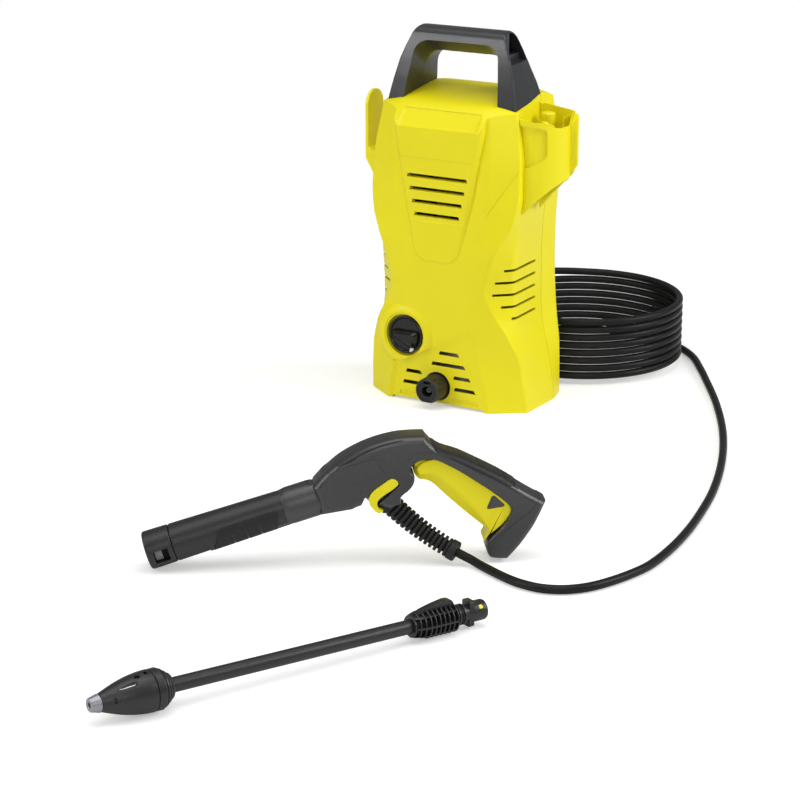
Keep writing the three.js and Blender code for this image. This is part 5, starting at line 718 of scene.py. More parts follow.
def housing():
    outer = body_loft(0)
    panel = lofted([panel_ring(g, y) for g, y in ((5.5, -58), (5.2, -64.5), (4.6, -66.2), (3.2, -67.7),
                                                  (1.5, -69), (0.5, -69.4), (0, -69.5))])
    outer = joined(outer, panel)
    outer = shared(outer, crown(0))
    boss = turned(BOSS, 72, KNOB_AXIS)
    outer = joined(outer, boss)
    sunk = []
    lower = [(-64, -8), (-56, 44), (-45, 44.5), (44, 92), (50, 60), (62, 18), (66, -8)]
    for grow, depth in ((0, 1.3), (2.5, 0.85), (5, 0.4)):
        sunk.append(cut(pushed(rounded(inset(lower, -grow), 5), -80, -50), body_loft(depth)))
    brow = lofted([[(x, -77, 331.5), (x, -70.2, 331.5), (x, -69.9 + deep, 332.6),
                    (x, -56.6 + deep, 351.6 - deep * 0.5), (x, -58, 362), (x, -77, 362)]
                   for x, deep in ((-54, 0), (-49.5, 2.1), (49.5, 2.1), (54, 0))])
    field = [[Vector((x, y, z))
              for x, z in ((-51 + e, 297.5 - e), (51 - e, 297.5 - e), (36 - e, 222 + e), (-36 + e, 222 + e))]
             for y, e in ((-76, -1), (-69.5, 0), (-68.7, 1.2), (-68.6, 1.3))]
    outer = cut(outer, *sunk, brow, lofted([rounded(ring, 5) for ring in field]))
    ridge = pushed([(62.2, 236), (96.6, 292), (97.4, 291.4), (63, 235.4)], -80, -30)
    outer = joined(outer, shared(ridge, body_loft(-0.8)))
    inner = cut(shared(body_loft(BODY_WALL), crown(4.8)), block(-150, 150, -150, 150, -20, 7))
    hollow = cut(outer, inner)
    places = screw_places()
    skin = body_loft(0.8)
    posts = [shared(rod(20, 65, 5.4, 24, along_y(x, z)), skin) for x, z in places]
    hollow = joined(hollow, *posts)
    cup = turned([(-61, 0.01), (-61, 28.5), (-57, 28.5), (-57, 0.01)], 60, KNOB_AXIS)
    hollow = joined(hollow, cup)
    under = cut(body_loft(7), block(-150, 150, -150, 150, 3, 500))
    cuts = [under, block(-62, 62, -80, 0, -8, 3), block(-50, 50, 0, 80, -8, 3)]
    for x, z in places:
        cuts.append(turned([(14, 2.2), (37.7, 2.2), (37.7, 3.9), (80, 3.9)], 24, along_y(x, z)))
    cuts += [rod(-80, -60, KNOB_RECESS, 72, KNOB_AXIS), rod(-80, -50, 17.6, 60, OUTLET_AXIS),
             rod(40, 80, 12.3, 48, along_y(6, 30)), rod(40, 80, 9.3, 40, along_y(-44, 40))]
    for i in range(4):
        half = 40 - 10 * i / 3
        cuts.append(slot(-half, half, TOP_SLOT_Z - TOP_SLOT_PITCH * i))
    reach = LOW_SLOT_REACH
    for step, a, b in ((0, 0.04, 0.51), (1, -0.14, 0.66), (2, 0.39, 0.79), (3, 0.41, 0.91), (2, -0.77, -0.4),
                       (3, -0.84, -0.44)):
        cuts.append(slot(a * reach, b * reach, LOW_SLOT_Z - LOW_SLOT_PITCH * step, SLOT_HEIGHT, 0.9, 1.5))
    for a, b in ((-0.92, -0.44), (0.36, 0.98)):
        cuts.append(cut(slot(a * reach, b * reach, 9, 5, 0.6, 1), body_loft(2.7)))
    cuts += side_vents()
    hollow = cut(hollow, *cuts)
    for name, y0, y1 in (("front", -FAR, SEAM_Y - SEAM_GAP), ("rear", SEAM_Y + SEAM_GAP, FAR)):
        half = shared(hollow, block(-FAR, FAR, y0, y1, -50, 600))
        piece(name + "_shell", tidy(half), YELLOW, stands_for=[name + "_housing"], edge=0.9, segments=3,
              angle=24)


housing()


# ---- carry handle, holster and hook
HANDLE_HEIGHT, HANDLE_HALF_DEPTH, HANDLE_HALF_WIDTH, HANDLE_WALL = 88.5, 43.5, 86, 2.3
HANDLE_LEVELS = [
    (-0.135, 0.86, 0.15, 0.88, 1.01, 0.985),
    (0, 0.845, 0.15, 0.84, 1, 0.975),
    (0.3, 0.75, 0.12, 0.74, 0.935, 0.885),
    (0.57, 0.65, 0.07, 0.62, 0.863, 0.78),
    (0.72, 0.59, 0.03, 0.54, 0.80, 0.725),
    (0.83, 0.53, 0, 0.45, 0.75, 0.69),
    (0.9, 0.48, 0, 0.37, 0.72, 0.67),
    (0.95, 0.41, 0, 0.27, 0.69, 0.65),
    (0.98, 0.31, 0, 0.14, 0.665, 0.64),
    (0.992, 0.18, 0, 0, 0.65, 0.63),
]


def handle_loft(wall, beyond=0.0):
    """The handle's outer form moved inwards by the wall, its sides moved outwards by beyond."""
    deep, wide = HANDLE_HALF_DEPTH, HANDLE_HALF_WIDTH
    rings = []
    for height, front, slant, rear, half_front, half_rear in fine_levels(HANDLE_LEVELS, 3):
        z = BODY_HEIGHT + height * HANDLE_HEIGHT - (wall * height if height > 0.5 else 0)
        y0, y1 = wall - front * deep, rear * deep - wall
        x0, x1 = half_front * wide + beyond, half_rear * wide + beyond
        half = [Vector((x0 * 0.62, y0 - slant * deep)), Vector((x0, y0)),
                Vector(((x0 + x1) / 2 + 1.5, (y0 + y1) / 2)), Vector((x1, y1))]
        ring = half + [Vector((-p.x, p.y)) for p in reversed(half)]
        rings.append([Vector((p.x, p.y, z)) for p in rounded(ring, [4, 2, 1.5, 4, 4, 1.5, 2, 4], 3)])
    return lofted(rings)


def carry_handle():
    way = []
    for y, top in ((-60, 453.6), (-15, 419.5), (-2, 411.6), (6, 410), (60, 410)):
        ring = [(-66, 330), (-54, top), (54, top), (66, 330)]
        way.append([Vector((p.x, y, p.y)) for p in rounded(ring, [0.5, 20, 20, 0.5], 8)])
    shell = cut(handle_loft(0), lofted(way))
    roof = handle_loft(HANDLE_WALL, 6)
    cuts = []
    for side in (1, -1):
        for inner, front, foot in ((57, -60, 405.5), (20, -3, 413)):
            room = block(*sorted((side * inner, side * 100)), front, 60, foot, 445)
            cuts.append(shared(roof, room))
    cuts += [rod(-60, 60, 13, 48, along_y((i - 1.5) * 20, 398.8)) for i in range(4)]
    cuts.append(crown(-0.3))
    shell = cut(shell, *cuts)
    piece("carry_handle_shell", tidy(shell), DARK_GREY, stands_for=["carry_handle"], edge=1.0, segments=3,
          angle=26)


HOLSTER_FOOT = 228
HOLSTER_LINE = [(80, -38, 349, 0, 1, 0.5), (104, -38, 346, 0, 1, 7), (121, -30, 341, -0.5, 0.85, 8),
                (131, -17, 337, -0.85, 0.5, 8), (134, -4, 335, -1, 0.2, 3), (134, 6, 336.5, -1, 0.8, 0.8),
                (142, 7.5, 348, -4.1, 1.4, 1.2), (142.3, 11, 349.5, -4.2, 1.6, 1.2),
                (134, 17, 350.5, -1.3, 0.2, 4), (129, 27, 351, -0.6, -1, 6), (80, 27, 358, 0, -1, 0.5)]


def holster_loft(wall):
    """The holster, moved inwards: its front wall, the back plate that stands out past it, its rear."""
    rings = [[(x + wall * a, y + wall * b, HOLSTER_FOOT - wall) for x, y, z, a, b, r in HOLSTER_LINE],
             [(x + wall * a, y + wall * b, z + (2 if wall else 0)) for x, y, z, a, b, r in HOLSTER_LINE]]
    return lofted([rounded(ring, [row[-1] for row in HOLSTER_LINE], 5) for ring in rings])


def holster():
    region = [(78, 287), (104, 293), (122, 304), (122, 334), (118, 337.5), (78, 342)]
    region = pushed(rounded(region, [0.5, 3, 5, 5, 3, 0.5]), -50, -20)
    web = cut(region, holster_loft(3.8))
    backing = shared(cut(holster_loft(3.7), holster_loft(6)), block(78, 131, -50, -18, 284, 344))
    shell = cut(holster_loft(0), holster_loft(2.6), web)
    shell = joined(shell, backing, block(121.4, 123, 10, 25.6, 240, 345),
                   block(101, 132, -5.6, -3.4, 233, 295),
                   turned([(236, 8.5), (348.5, 8.5), (350, 7)], 40, along_z(103.5, 8)))

    def slant(x):
        return 233 + (x - 92.02) * (50 / 48.98)
    below = lofted([[(75, y, 0), (150, y, 0), (150, y, slant(150) + rise), (75, y, slant(75) + rise)]
                    for y, rise in ((-50, 0), (-20, 0), (4, 0), (8, 8), (40, 8))])
    shell = cut(shell, below, body_loft(-0.3))
    piece("gun_holster_shell", tidy(shell), YELLOW, stands_for=["gun_holster"], edge=0.9, segments=3,
          angle=26)


HOOK_OUTER_X, HOOK_THICK, HOOK_FRONT_Y, HOOK_REAR_Y, HOOK_ARC = -131, 4, -14, 21, (3.5, 339.5, 17.5)


def hook():
    y, z, r = HOOK_ARC
    arc = [(y + r * math.cos(math.pi * i / 18), z + r * math.sin(math.pi * i / 18)) for i in range(19)]
    plate = sideways([(HOOK_FRONT_Y, 278), (HOOK_REAR_Y, 278), *arc], HOOK_OUTER_X,
                     HOOK_OUTER_X + HOOK_THICK)
    arm = pushed([(HOOK_OUTER_X, 292), (HOOK_OUTER_X, 276), (-80, 192), (-80, 262)], HOOK_FRONT_Y,
                 HOOK_REAR_Y)
    made = joined(plate, arm)
    made = cut(made, body_loft(-0.3))
    piece("cable_hook_arm", tidy(made), YELLOW, stands_for=["cable_hook"], edge=1.7, segments=4, angle=30)


carry_handle()
holster()
hook()


# ---- knob and outlet
def knob():
    face = [(-60.3, 22.2), (-65.6, 23), (-66.8, 22.8), (-67.3, 22), (-67.2, 20.8), (-66.6, 19.8),
            (-65.8, 19.2), (-65.4, 17.5), (-65.2, 14)]
    disc = turned(face, 80, KNOB_AXIS)
    foot = rounded([(-19.4, 2.5), (-17.5, -4), (5, -15.5), (12, -16.8), (16.5, -9.5), (18.5, 2.5), (14, 6),
                    (-15, 6)], 3, 4)
    ridge = rounded([(-13.5, 1.2), (-12.5, -0.6), (5, -9.5), (9.5, -10.6), (12, -7.5), (13.5, 0),
                     (11.5, 1.8), (-12, 1.8)], 1, 4)
    rings = [(y, [a.lerp(b, share) for a, b in zip(foot, ridge)])
             for y, share in ((-63, 0), (-66, 0), (-68.5, 0.22), (-72.4, 0.9), (-73, 1.12))]
    grip = lofted([[(p.x + KNOB_X, y, p.y + KNOB_Z) for p in ring] for y, ring in rings])
    shaft = rod(-64, -56.8, 5, 32, KNOB_AXIS)
    made = joined(disc, grip, shaft)
    piece("switch_knob_turned", tidy(made, 0.5), GLOSS_BLACK, stands_for=["switch_knob"], edge=0.5,
          segments=3, angle=24, body="knob")
    pill = rounded([(5.4, -20.2), (9.8, -18.6), (11, -15.4), (9, -13.8), (5.6, -16.2)], 1, 3)
    mark = pushed([(p.x + KNOB_X + 1, p.y + KNOB_Z) for p in pill], -68.1, -65.6)
    piece("knob_white_mark", mark, WHITE_PRINT_AND_PAINTED_HIGHLIGHT, edge=0.25, body="knob")


def outlet():
    rings = []
    for y, r, rib in ((-90, 13.9, 0), (-89.7, 14.7, 0), (-89.1, 15.2, 0), (-88.2, 15.4, 0), (-86.8, 15.4, 0),
                      (-86.6, 15.5, 1), (-70, 15.5, 1), (-69.8, 15.4, 0), (-66, 15.4, 0), (-65.4, 14.35, 0),
                      (-46.3, 14.35, 0)):
        ring = []
        for i in range(120):
            a = math.tau * (i + 0.5) / 120
            ribbed = rib and 0.45 < a < 2.7 and (i // 2) % 2
            radius = r - (0.75 if ribbed else 0)
            ring.append((radius * math.cos(a), y, OUTLET_Z + max(radius * math.sin(a), -13.6)))
        rings.append(ring)
    eight = [(7.4 * math.cos(math.pi * (i + 0.5) / 4), 6.6 * math.sin(math.pi * (i + 0.5) / 4))
             for i in range(8)]
    hole = pushed([(x, OUTLET_Z - 0.6 + z) for x, z in rounded(eight, 0.6, 2)], -95, -67)
    made = cut(lofted(rings), hole, pushed(rounded(rect(-5, 5, 31.4, 34.6), 0.8), -95, -84),
               rod(-95, -88.6, 12.6, 64, OUTLET_AXIS), rod(-70, -40, 2.2, 24, OUTLET_AXIS))
    piece("outlet_socket_body", tidy(made, 0.5), BLACK, stands_for=["outlet_socket"], edge=0.35)
    plate = cut(rod(-89.4, -88.65, 12.3, 64, OUTLET_AXIS), hole, pushed(rect(-4.6, 4.6, 31.8, 37), -95, -80))
    nipple = turned([(-84.6, 1.9), (-85, 2.3), (-84.7, 2.9), (-67.2, 3.1), (-67.2, 1.9)], 32, OUTLET_AXIS,
                    closed=True)
    piece("outlet_nipple", nipple, GREY_PART, edge=0.15)
    piece("outlet_face", plate, SOFT_BLACK, edge=0.15)
    ring = turned([(-64, 14.9), (-64.5, 15.4), (-64.5, 16.9), (-64, 17.3), (-57.5, 17.3), (-57.5, 14.9)], 72,
                  OUTLET_AXIS, closed=True)
    piece("outlet_black_ring", ring, SOFT_BLACK, stands_for=["outlet_ring"])


knob()
outlet()


# ---- gun: shells, barrel, trigger, clip
GUN_LINE = [Vector(p) for p in ((150.5, 83.5), (166.7, 101.3), (181.3, 113.2), (201, 123.6), (220.2, 130.2),
                                (239.9, 133.9), (264.1, 134.4), (271, 125.9), (280.3, 118.9), (298.8, 112.2),
                                (338.4, 91.3), (363.4, 74.9), (385, 61.8), (373.8, 37), (359.2, 15.3),
                                (345, 0.4), (327.3, 3.8), (323.4, 11.4), (322.5, 20), (326.5, 27),
                                (338.6, 39.5), (345.2, 50.5), (344.8, 57), (338.2, 63.8), (326.8, 73),
                                (315, 81.3), (295.6, 94.6), (284, 101.2), (276, 105.4), (268, 107.6),
                                (258, 106.3), (251, 101.5), (250.2, 97.5), (253.2, 93.5), (253.6, 86),
                                (251, 80.5), (246.5, 75.5), (240.5, 70), (240.5, 64), (236, 58), (231, 54.6),
                                (212.4, 60.5), (201.6, 59.8), (192.5, 56), (159.4, 51.1))]
TRIGGER_LINE = [Vector(p) for p in (
    (251.5, 97.7), (254.7, 101.9), (261.2, 105.9), (269.3, 107.9), (276.5, 106.6), (286, 102), (296.4, 95.8),
    (316, 82.4), (327.8, 74.2), (339.7, 64.7), (345.8, 57.2), (346.6, 50.4), (340, 39.9), (328, 28.5),
    (321.2, 21.8), (325.6, 30.5), (322, 35.2), (313, 42.5), (296.5, 56.8), (283.2, 69.3), (271.7, 80.6),
    (265.2, 84.8), (257.8, 86.3), (253.8, 90.5))]
CLIP_LINE = [Vector(p) for p in (
    (228.9, 90.8), (233.8, 89.8), (236.2, 85.8), (231.4, 80.8), (221.6, 74.3), (215.9, 68.5), (216.7, 61.6),
    (221.6, 58.9), (216.7, 56.5), (209.4, 63.6), (207.8, 70.5), (210.3, 77.3), (218.4, 83.8))]
PIN_X, PIN_Z = 258, 114
PIN_AXIS = along_y(PIN_X, PIN_Z)
CORNERS = (0, 6, 12, 15, 40, 43, 44)
EDGE_SHARE = [0.8 if i == 15 else 0.45 if i in (16, 17) else 0.33 if 18 <= i <= 38 else 1 for i in range(45)]


def gun_side(distance, steps=3):
    """The gun's side outline moved inwards, less so round the trigger and at the toe of the heel."""
    return smooth_closed(inset(GUN_LINE, [distance * share for share in EDGE_SHARE]), steps, CORNERS)


def gun_pillow(grow=0.0):
    """The gun's body: its side outline drawn in towards both flanks."""
    half = [(0, 2.5), (8, 2.6), (11.5, 3.0), (13.8, 3.7), (15.6, 4.8), (16.9, 6.2), (17.7, 7.8), (18, 9.2)]
    line = [(-y, d) for y, d in reversed(half[1:])] + half
    return lofted([[(p.x, y * (1 + grow / 18), p.y) for p in gun_side(d - grow)] for y, d in line])


def side_strip(points, grow):
    """Raised area of the gun's skin inside an outline in x and z."""
    return shared(gun_pillow(grow), pushed(points, -30, 30))


def about_pin(points, degrees):
    """Points in x and z turned about the trigger's pin."""
    a, px, pz = math.radians(degrees), PIN_X, PIN_Z
    return [Vector((px + (x - px) * math.cos(a) - (z - pz) * math.sin(a),
                    pz + (x - px) * math.sin(a) + (z - pz) * math.cos(a))) for x, z in points]


def under_shell(points):
    """The trigger's outline with its rear edge carried on under the shells."""
    return [p + Vector((1.6, 2.1)) if 4 <= i <= 11 else p for i, p in enumerate(points)]


def trigger_sweep():
    """The room that the trigger and its arm take on their way to the grip."""
    arm = [(253, PIN_Z), (253, 100), (263, 100), (263, PIN_Z)]
    made = []
    for i in range(7):
        line = smooth_closed(about_pin(under_shell(TRIGGER_LINE), i * 1.5), 3, (14,))
        made += [pushed(inset(outline, -0.45), -15.7, 15.7) for outline in (line, about_pin(arm, i * 1.5))]
    return made


def gun_shells():
    body = gun_pillow()
    sweep = trigger_sweep()
    lip = rounded([(262, 117), (277, 114.6), (295, 105.6), (312, 95.8), (325.5, 85.5), (340, 70),
                   (347.5, 59.5), (349.5, 50), (338, 36), (300, 76), (262, 98)], 2)
    heel = rounded([(384, 76), (379, 68), (376.6, 65), (365.8, 52), (352.6, 41.8), (339.3, 31.4), (330, 24),
                    (319, 12), (340, -6), (395, 28), (395, 70)], 1)
    root = turned([(138, 16), (141, 17.6), (146, 18.5), (172, 18.5), (176, 17)], 48, BARREL)
    bracket = rounded([(209, 113.9), (217.4, 115.3), (221.6, 109.1), (225.2, 99.5), (223.1, 99.1),
                       (220, 104.7), (216.3, 112)], 0.8, 3)
    bump = turned([(-19, 2.6), (-18.4, 4.6), (-16, 5.2), (16, 5.2), (18.4, 4.6), (19, 2.6)], 32,
                  along_y(204.5, 78.5))
    lobe = rounded([(244.5, 109), (254.2, 116), (260.7, 117.5), (262, 108), (252.7, 99.5), (256, 94),
                    (256, 84), (248, 74), (241, 78), (247.5, 88), (247, 96)], 2, 3)
    panel = rounded([(154, 85), (163.5, 95.4), (190, 105.6), (213, 111.6), (222.4, 96.4), (206, 91),
                     (193, 88.4)], 2, 3)
    body = joined(body, side_strip(lip, 0.5), side_strip(heel, 0.5), side_strip(bracket, 0.45),
                  side_strip(lobe, 0.4), side_strip(panel, 0.7), bump,
                  shared(root, block(100, 192, -30, 30, 40, 84)))
    groove = [(176, 104), (184.5, 113), (194, 119.3), (210, 126), (226, 130.3), (250, 134), (252, 131.5),
              (238, 128), (219.6, 123.4), (201, 115.6), (187, 107.6)]
    groove = smooth_closed([Vector(p) for p in groove], 3, (0, 5))
    cuts = [pushed(groove, *span) for span in ((-20, -15.4), (15.4, 20))]
    for slide in (0, 3, 6, 9):
        cuts.append(pushed(inset([p + Vector((-0.73, -0.68)) * slide for p in CLIP_LINE], -0.5), -30, 30))
    cuts.append(pushed(smooth_closed(inset(GUN_LINE, [max(2.6, 7.6 * share) for share in EDGE_SHARE]), 2,
                                     CORNERS), -15.6, 15.6))
    cuts += sweep
    cuts += [rod(-15.6, 15.6, 5.3, 32, PIN_AXIS), rod(-1, 170.3, 17.3, 48, BARREL),
             rod(150, 188, 5.3, 24, BARREL)]
    body = cut(body, *cuts)
    sleeve = turned([(-30, 12), (-29.4, 13), (-0.8, 13), (0, 12.2)], 48, COUPLING)
    band = cut(block(-12.8, -5.2, -36, 36, -44, 22.3, COUPLING), sleeve)
    body = joined(body, sleeve)
    body = cut(body, band, rod(-32, 2, 10.4, 40, COUPLING), rod(0, 16, 12.6, 40, COUPLING))
    for name, span in (("gun_right", (-40, -0.15)), ("gun_left", (0.15, 40))):
        half = shared(body, block(-50, 450, *span, -50, 300))
        on_gun(name + "_half", tidy(half, 0.6), GUN_BLACK, stands_for=[name + "_shell"], edge=0.5, angle=32)
    strip = [(268, 142), (270.5, 124), (276, 115.2), (292.7, 107.5), (312.2, 96.6), (325.6, 89.3),
             (339.8, 81.8), (348, 79.2), (356, 80.4), (370, 86), (340, 142)]
    rubber = cut(side_strip(smooth_closed([Vector(p) for p in strip], 4, (0, 9, 10)), 0.6), gun_pillow(-1.4))
    marks = [block(-1, 1, -30, 30, -3.2, 3, shift(x, 0, z) @ spin(28, "Y"))
             for x, z in ((315.3, 103.4), (341.5, 89.4))]
    on_gun("grip_strip", tidy(cut(rubber, *marks, *sweep), 0.6), SOFT_BLACK, edge=0.35)


def gun_trigger():
    line = under_shell(TRIGGER_LINE)
    share = [0.3, 0.1] + [0] * 11 + [0.06, 0.06, 0.08, 0.25, 0.6, 0.95, 1, 0.95, 0.85, 0.7, 0.45]
    rings = []
    half = [(0, 0.25, 0), (6.5, 0.4, 0), (8.5, 0.9, 0), (13.6, 9.6, 0), (14.3, 11, 0.1), (14.7, 12, 0.5),
            (15, 13.2, 1.2)]
    for y, finger, rest in [(-y, a, b) for y, a, b in reversed(half[1:])] + half:
        ring = smooth_closed(inset(line, [rest + finger * s for s in share]), 4, (14,))
        rings.append([(p.x, y, p.y) for p in ring])
    body = joined(lofted(rings), pushed([(253, 114), (253, 101), (263, 101), (263, 114)], -12, 12),
                  rod(-14, 14, 5, 32, PIN_AXIS))
    lock = rounded([(329.3, 70.4), (342.2, 58.2), (323.2, 55.4)], 3.4, 5)
    body = cut(body, rod(-20, 20, 2.8, 24, PIN_AXIS), pushed(inset(lock, -0.35), -20, 20))
    on_gun("trigger_moulding", tidy(body, 0.5), YELLOW, stands_for=["gun_trigger"], edge=0.45, segments=3,
           angle=30, body="trigger")
    on_gun("trigger_lock_button", pushed(lock, -15.3, 12), DARK_GREY, stands_for=["trigger_lock"], edge=0.9,
           segments=3, body="lock")


def hose_clip():
    strap = pushed(smooth_closed(CLIP_LINE, 3, (7,)), -19.4, 19.4)
    strap = cut(strap, rod(-60, 30, 13.3, 48, COUPLING), block(-60, 30, -13.3, 13.3, 0, 60, COUPLING))
    on_gun("clip_strap", tidy(strap, 0.5), YELLOW_GLOSS, stands_for=["hose_clip"], edge=0.8, segments=3,
           body="clip")


MOUTH_RADIUS, BARREL_TAPER, BARREL_LENGTH = 19.2, 2.2, 170


def barrel_radius(x, grow=0.0):
    return MOUTH_RADIUS - BARREL_TAPER * x / BARREL_LENGTH + grow


def barrel_cone(x0, x1, grow, sides=72):
    return turned([(x, barrel_radius(x, grow)) for x in (x0, x1)], sides)


def gun_barrel():
    ring = turned([(0.6, 13.4), (0, 14.4), (0.2, 17.6), (1.2, 18.9), (2.6, 19.2), (25.6, 18.9), (26.7, 18.3),
                   (26.85, 17.4), (26.85, 13)], 72, closed=True)
    window = block(7, 21.6, -6.8, 6.8, -40, 0, spin(-77, "X"))
    ring = cut(ring, window)
    on_barrel("socket_ring", tidy(ring, 0.5), BLACK, stands_for=["lance_socket_ring"], edge=0.5)
    sleeve = turned([(6, 13), (6, 14.6), (23, 14.6), (23, 13)], 64, closed=True)
    latch = shared(sleeve, block(8, 15, -4.4, 6, -40, 0, spin(-77, "X")))
    on_barrel("socket_latch", latch, GREY_PART, edge=0.3)
    tube = turned([(27.3, 13), (27.3, 17.4), (27.5, 18.3), (28.6, barrel_radius(28.6)), (170, 17),
                   (170, 5.3), (62, 5.3), (62, 13)], 72, closed=True)
    under = shared(barrel_cone(60, 150, 1), block(0, 200, -5, 5, -40, -14))
    tube = joined(tube, cut(under, barrel_cone(20, 200, -1)))
    on_barrel("barrel_tube", tidy(tube, 0.5), BLACK, stands_for=["gun_barrel", "barrel_front"], edge=0.4)
    pad = cut(barrel_cone(58, 136, 1.2, 96), barrel_cone(50, 160, -1))
    region = pushed(rounded([(60, -26), (73, 2), (78, 5), (132, 5), (134, 2), (126, -26)], 1.5), -40, 40)
    notches = [block(x, x + 2.2, -40, 40, -19, -3.5) for x in (84, 98, 112)]
    pad = cut(shared(pad, region), *notches)
    on_barrel("barrel_pad", tidy(pad, 0.5), SOFT_BLACK, edge=0.35)


gun_shells()
gun_trigger()
hose_clip()
gun_barrel()


# ---- spray lance
def spray_lance():
    line = through([Vector((x, r * 18.6, 0)) for x, r in ((9.3, 0.42), (18.9, 0.61), (29.46, 0.79),
                                                          (40.5, 0.92), (50.1, 0.985), (56.6, 1))], 5)
    outer = turned([(9.3, 7.2), *[(p.x, p.y) for p in line], (57.3, 17.9)], 96)
    wedge = lofted([[(x, w, z) for w, z in ((-w0, r - 1.6), (w0, r + 0.4), (w0, 30), (-w0, 30))]
                    for x, w0, r in ((22, 0.3, 14.2), (27, 1.6, 14.4), (40, 2.6, 16.8), (41, 2.2, 17.4))])
    wedge.transform(spin(33, "X"))
    dimple = turned([(10, 2.3), (30, 2.9)], 24, spin(14, "X") @ along_z(43.2, 0))
    oval = pushed(rounded(rect(-1.3, 1.3, -2.8, 2.8), 1.2, 5), -30, -10)
    oval.transform(spin(-18, "X") @ shift(19.5, 0, 0))
    notch = block(50.5, 53.4, -4.6, 0, 10, 30)
    hollow = turned([(12.5, 4.6), (16, 7), (30, 11.5), (45, 14.4), (60, 15.6)], 48)
    bore = rod(0, 60, 2.6, 24)
    floor = turned([(18, 9), (30, 12.7), (45, 15.8), (56, 16.8)], 48)
    made = cut(outer, cut(wedge, floor), cut(dimple, floor), cut(oval, turned([(12, 8), (26, 12.2)], 48)),
               notch, bore, hollow)
    on_lance("nozzle_head", tidy(made, 0.5), BLACK, stands_for=["nozzle_body"], edge=0.35, angle=35)
    tip = turned([(0.6, 2.6), (0, 3.4), (0, 5.6), (0.5, 6.2), (3, 6.8), (8.4, 8.2), (9, 7.8), (9, 2.6)], 56,
                 closed=True)
    # Light strip set into the slide's recess: a painted highlight that stands for the glint off the slanted
    # facet.
    painted_glint = lofted([[(x, w, z) for w, z in ((-w0, r - 1.7), (w0, r - 1.7), (w0, r - 0.9), (-w0, r - 0.9))]
                    for x, w0, r in ((25, 0.15, 14.3), (29, 0.7, 14.8), (38, 0.9, 16.5), (39.5, 0.5, 16.8))])
    painted_glint.transform(spin(34, "X"))
    on_lance("nozzle_slide_mark", painted_glint, WHITE_PRINT_AND_PAINTED_HIGHLIGHT, edge=0.1)
    on_lance("nozzle_mouth_ring", tip, NOSE_METAL, stands_for=["nozzle_tip"], edge=0.2)
    profile = [(57.7, 3.2), (57.7, 17.6), (58.1, 18.3), (64.4, 18.6), (65.2, 18.2), (65.4, 16.4),
               (66.6, 16.2), (66.8, 17.2), (68.4, 16.8), (68.6, 14.6), (70, 14.4), (70.2, 15), (71.8, 14.4),
               (72, 12.2), (73.2, 12), (73.4, 12.6), (75.6, 11.6), (76.1, 10.6), (76.1, 7), (60.7, 7),
               (60.7, 3.2)]
    on_lance("nozzle_stepped_collar", turned(profile, 80, closed=True), BLACK, stands_for=["nozzle_collar"],
             edge=0.3)
    tube = turned([(60.9, 3.2), (60.9, 6.7), (322.2, 6.7), (322.2, 3.2)], 48, closed=True)
    holes = [rod(6, 20, 1.1, 20, spin(33, "X") @ along_z(x, 0)) for x in (306, 313)]
    on_lance("lance_pipe", tidy(cut(tube, *holes), 0.5), BLACK, stands_for=["lance_tube"], edge=0.3)


GRIP_START, GRIP_END, GRIP_FINS = 322.5, 368.5, 10


def lance_grip():
    start, end = GRIP_START, GRIP_END
    core = turned([(start, 8.6), (end, 8.6)], 40)
    fins = []
    for i in range(GRIP_FINS):
        x = start + 44.6 * i / (GRIP_FINS - 1)
        r = 14.2 * min(1, 0.74 + 0.26 * i / 3)
        fins.append(turned([(x, r - 0.5), (x + 0.35, r), (x + 1.05, r), (x + 1.4, r - 0.5)], 48))
    crest = pushed(rounded([(start, 4), (331, 13.2), (345, 16.6), (360, 19), (366, 18), (end, 14), (end, 0),
                            (start, 0)], [0.5, 4, 6, 5, 3, 1, 0.5, 0.5]), -3.5, 3.5)
    ribs = [block(324, 367, -13.8, 13.8, -0.8, 0.8), block(324, 367, -10.6, 10.6, -9.9, -8.5),
            block(324, 367, -9.5, 9.5, 8.4, 9.8)]
    cage = [shared(rib, turned([(start, 10.6), (334, 13.9), (end, 14)], 48)) for rib in ribs]
    made = joined(core, *fins, crest, *cage)
    made = cut(made, rod(300, 400, 3.2, 24))
    on_lance("lance_ribbed_grip", tidy(made, 0.5), BLACK, stands_for=["lance_grip"], edge=0.3)
    profile = [(368.8, 9.4), (369.2, 9.9), (370.4, 9.9), (370.8, 8.6), (372, 8.6), (372.4, 9.9), (374, 9.9),
               (374.1, 7.3), (377.7, 7.3), (377.8, 9.9), (379.6, 9.9), (380.6, 8), (384.8, 7.8),
               (389.8, 9.8), (402, 9.8), (403.3, 9.3), (403.8, 8.2)]
    wing = rounded(rect(-12.6, 12.6, -6.5, 6.5), 3, 5)
    wings = lofted([[(x, y, z) for z, y in wing] for x in (384.8, 389.8)])
    winged = joined(turned([(368.8, 3.2), *profile, (403.8, 8.2)], 64), wings)
    made = cut(winged, rod(300, 420, 3.6, 24))
    on_lance("lance_winged_end", tidy(made, 0.5), BLACK, stands_for=["lance_bayonet"], edge=0.4, segments=3)
    mark = pushed(rounded(rect(394.2, 397.8, -1.8, 1.8), 0.5), -10.05, -9)
    mark.transform(spin(-40, "X"))
    on_lance("lance_yellow_mark", mark, YELLOW, edge=0.15)
    turns = [math.tau * i / 16 for i in range(16)]
    seal = turned([(374.4 + 1.5 - 1.5 * math.cos(a), 8.4 + 1.5 * math.sin(a)) for a in turns], 64,
                  closed=True)
    on_lance("lance_seal", seal, RUBBER, stands_for=["lance_o_ring"])


spray_lance()
lance_grip()


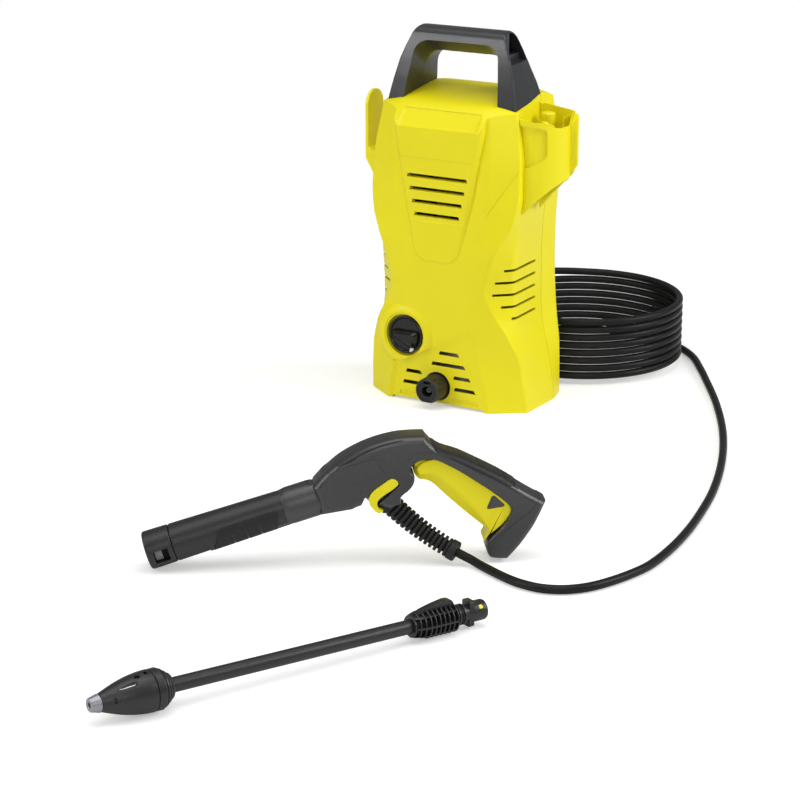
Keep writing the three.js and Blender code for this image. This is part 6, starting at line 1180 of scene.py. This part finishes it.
# ---- pieces that keep the part's own solids
FINISHES = [
    (STEEL, 0.25, [f"housing_screw_{i + 1}" for i in range(SCREWS)]),
    (STEEL, 0.25, ["motor_armature", "motor_pinion", "drive_gear", "trigger_pin", "inlet_sieve"]),
    (STEEL, 0.3, ["motor_stator", "swash_plate", "piston_1", "piston_2", "piston_3"]),
    (CAST, 0.4, ["cylinder_block", "pump_head", "gear_case", "motor_end_bracket"]),
    (BRASS, 0.3, ["gun_valve", "gun_pipe", "hose_coupling", "nozzle_rotor"]),
    (COPPER, 0.25, ["brush_holder_left", "brush_holder_right"]),
    (SOFT_BLACK, 0.4, ["switch_body", "cooling_fan", "pressure_switch", "cable_gland"]),
    (GREY_PART, 0.5, ["capacitor", "water_inlet"]),
]
for finish, edge, names in FINISHES:
    for name in names:
        dress(name, finish, edge)


# ---- studio: pale floor, white beyond it, soft lamps
FLOOR_HALF, FLOOR_DROP = 6, -0.0004
FLOOR_GLOW, FADE_START, FADE_END = 0.38, 0.75, 1.5
WORLD_LIGHT = 0.22
corners = [(x, y, FLOOR_DROP) for x, y in ((-FLOOR_HALF, -FLOOR_HALF), (FLOOR_HALF, -FLOOR_HALF),
                                           (FLOOR_HALF, FLOOR_HALF), (-FLOOR_HALF, FLOOR_HALF))]
floor = placed("studio_floor", outward(corners, [(0, 1, 2, 3)]))
paper = bpy.data.materials.new("white_floor")
paper.use_nodes = True
tree = paper.node_tree
surface = tree.nodes["Principled BSDF"]
fill(tree, surface, {"Base Color": (0.8, 0.8, 0.8, 1), "Roughness": 0.7, "Specular IOR Level": 0.2})
camera_ray = node(tree, "ShaderNodeLightPath").outputs["Is Camera Ray"]
glow = node(tree, "ShaderNodeEmission", {"Strength": math_node(tree, "MULTIPLY", camera_ray, FLOOR_GLOW)})
both = node(tree, "ShaderNodeAddShader", {0: surface.outputs[0], 1: glow.outputs[0]})
away = node(tree, "ShaderNodeVectorMath", {0: place(tree)}, operation="LENGTH")
fade = node(tree, "ShaderNodeMapRange",
            {"From Min": FADE_START, "From Max": FADE_END, "Value": away.outputs["Value"]},
            interpolation_type="SMOOTHSTEP")
clear = math_node(tree, "MULTIPLY", camera_ray, fade.outputs["Result"])
thin = node(tree, "ShaderNodeMixShader",
            {0: clear, 1: both.outputs[0], 2: node(tree, "ShaderNodeBsdfTransparent").outputs[0]})
fill(tree, tree.nodes["Material Output"], {"Surface": thin.outputs[0]})
floor.data.materials.append(paper)

world = bpy.data.worlds.new("studio")
bpy.context.scene.world = world
world.use_nodes = True
tree = world.node_tree
rays = node(tree, "ShaderNodeLightPath").outputs
seen = math_node(tree, "MAXIMUM", rays["Is Camera Ray"], rays["Is Transmission Ray"])
fill(tree, tree.nodes["Background"],
     {"Color": (1, 1, 1, 1), "Strength": math_node(tree, "MAXIMUM", seen, WORLD_LIGHT)})


def lamp(name, at, aim, size, power):
    light = bpy.data.lights.new(name, "AREA")
    light.shape = "RECTANGLE"
    light.size, light.size_y = size
    light.energy = power
    obj = placed(name, light)
    obj.location = at
    obj.rotation_mode = "QUATERNION"
    obj.rotation_quaternion = (Vector(aim) - Vector(at)).to_track_quat("-Z", "Y")


lamp("key_right", (2.6, 1.2, 1.8), (-0.05, 0.3, 0.15), (1.6, 1.6), 56)
lamp("front_left", (-2.1, -2.4, 1.7), (0, 0.1, 0.1), (1.8, 1.4), 36)
lamp("front_right", (1.1, -1.7, 0.9), (0.1, -0.05, 0.08), (1.1, 0.8), 7)
lamp("overhead", (0.1, -0.3, 2.9), (0, 0.1, 0), (2.8, 2.8), 52)

bpy.context.scene.view_settings.view_transform = "Standard"
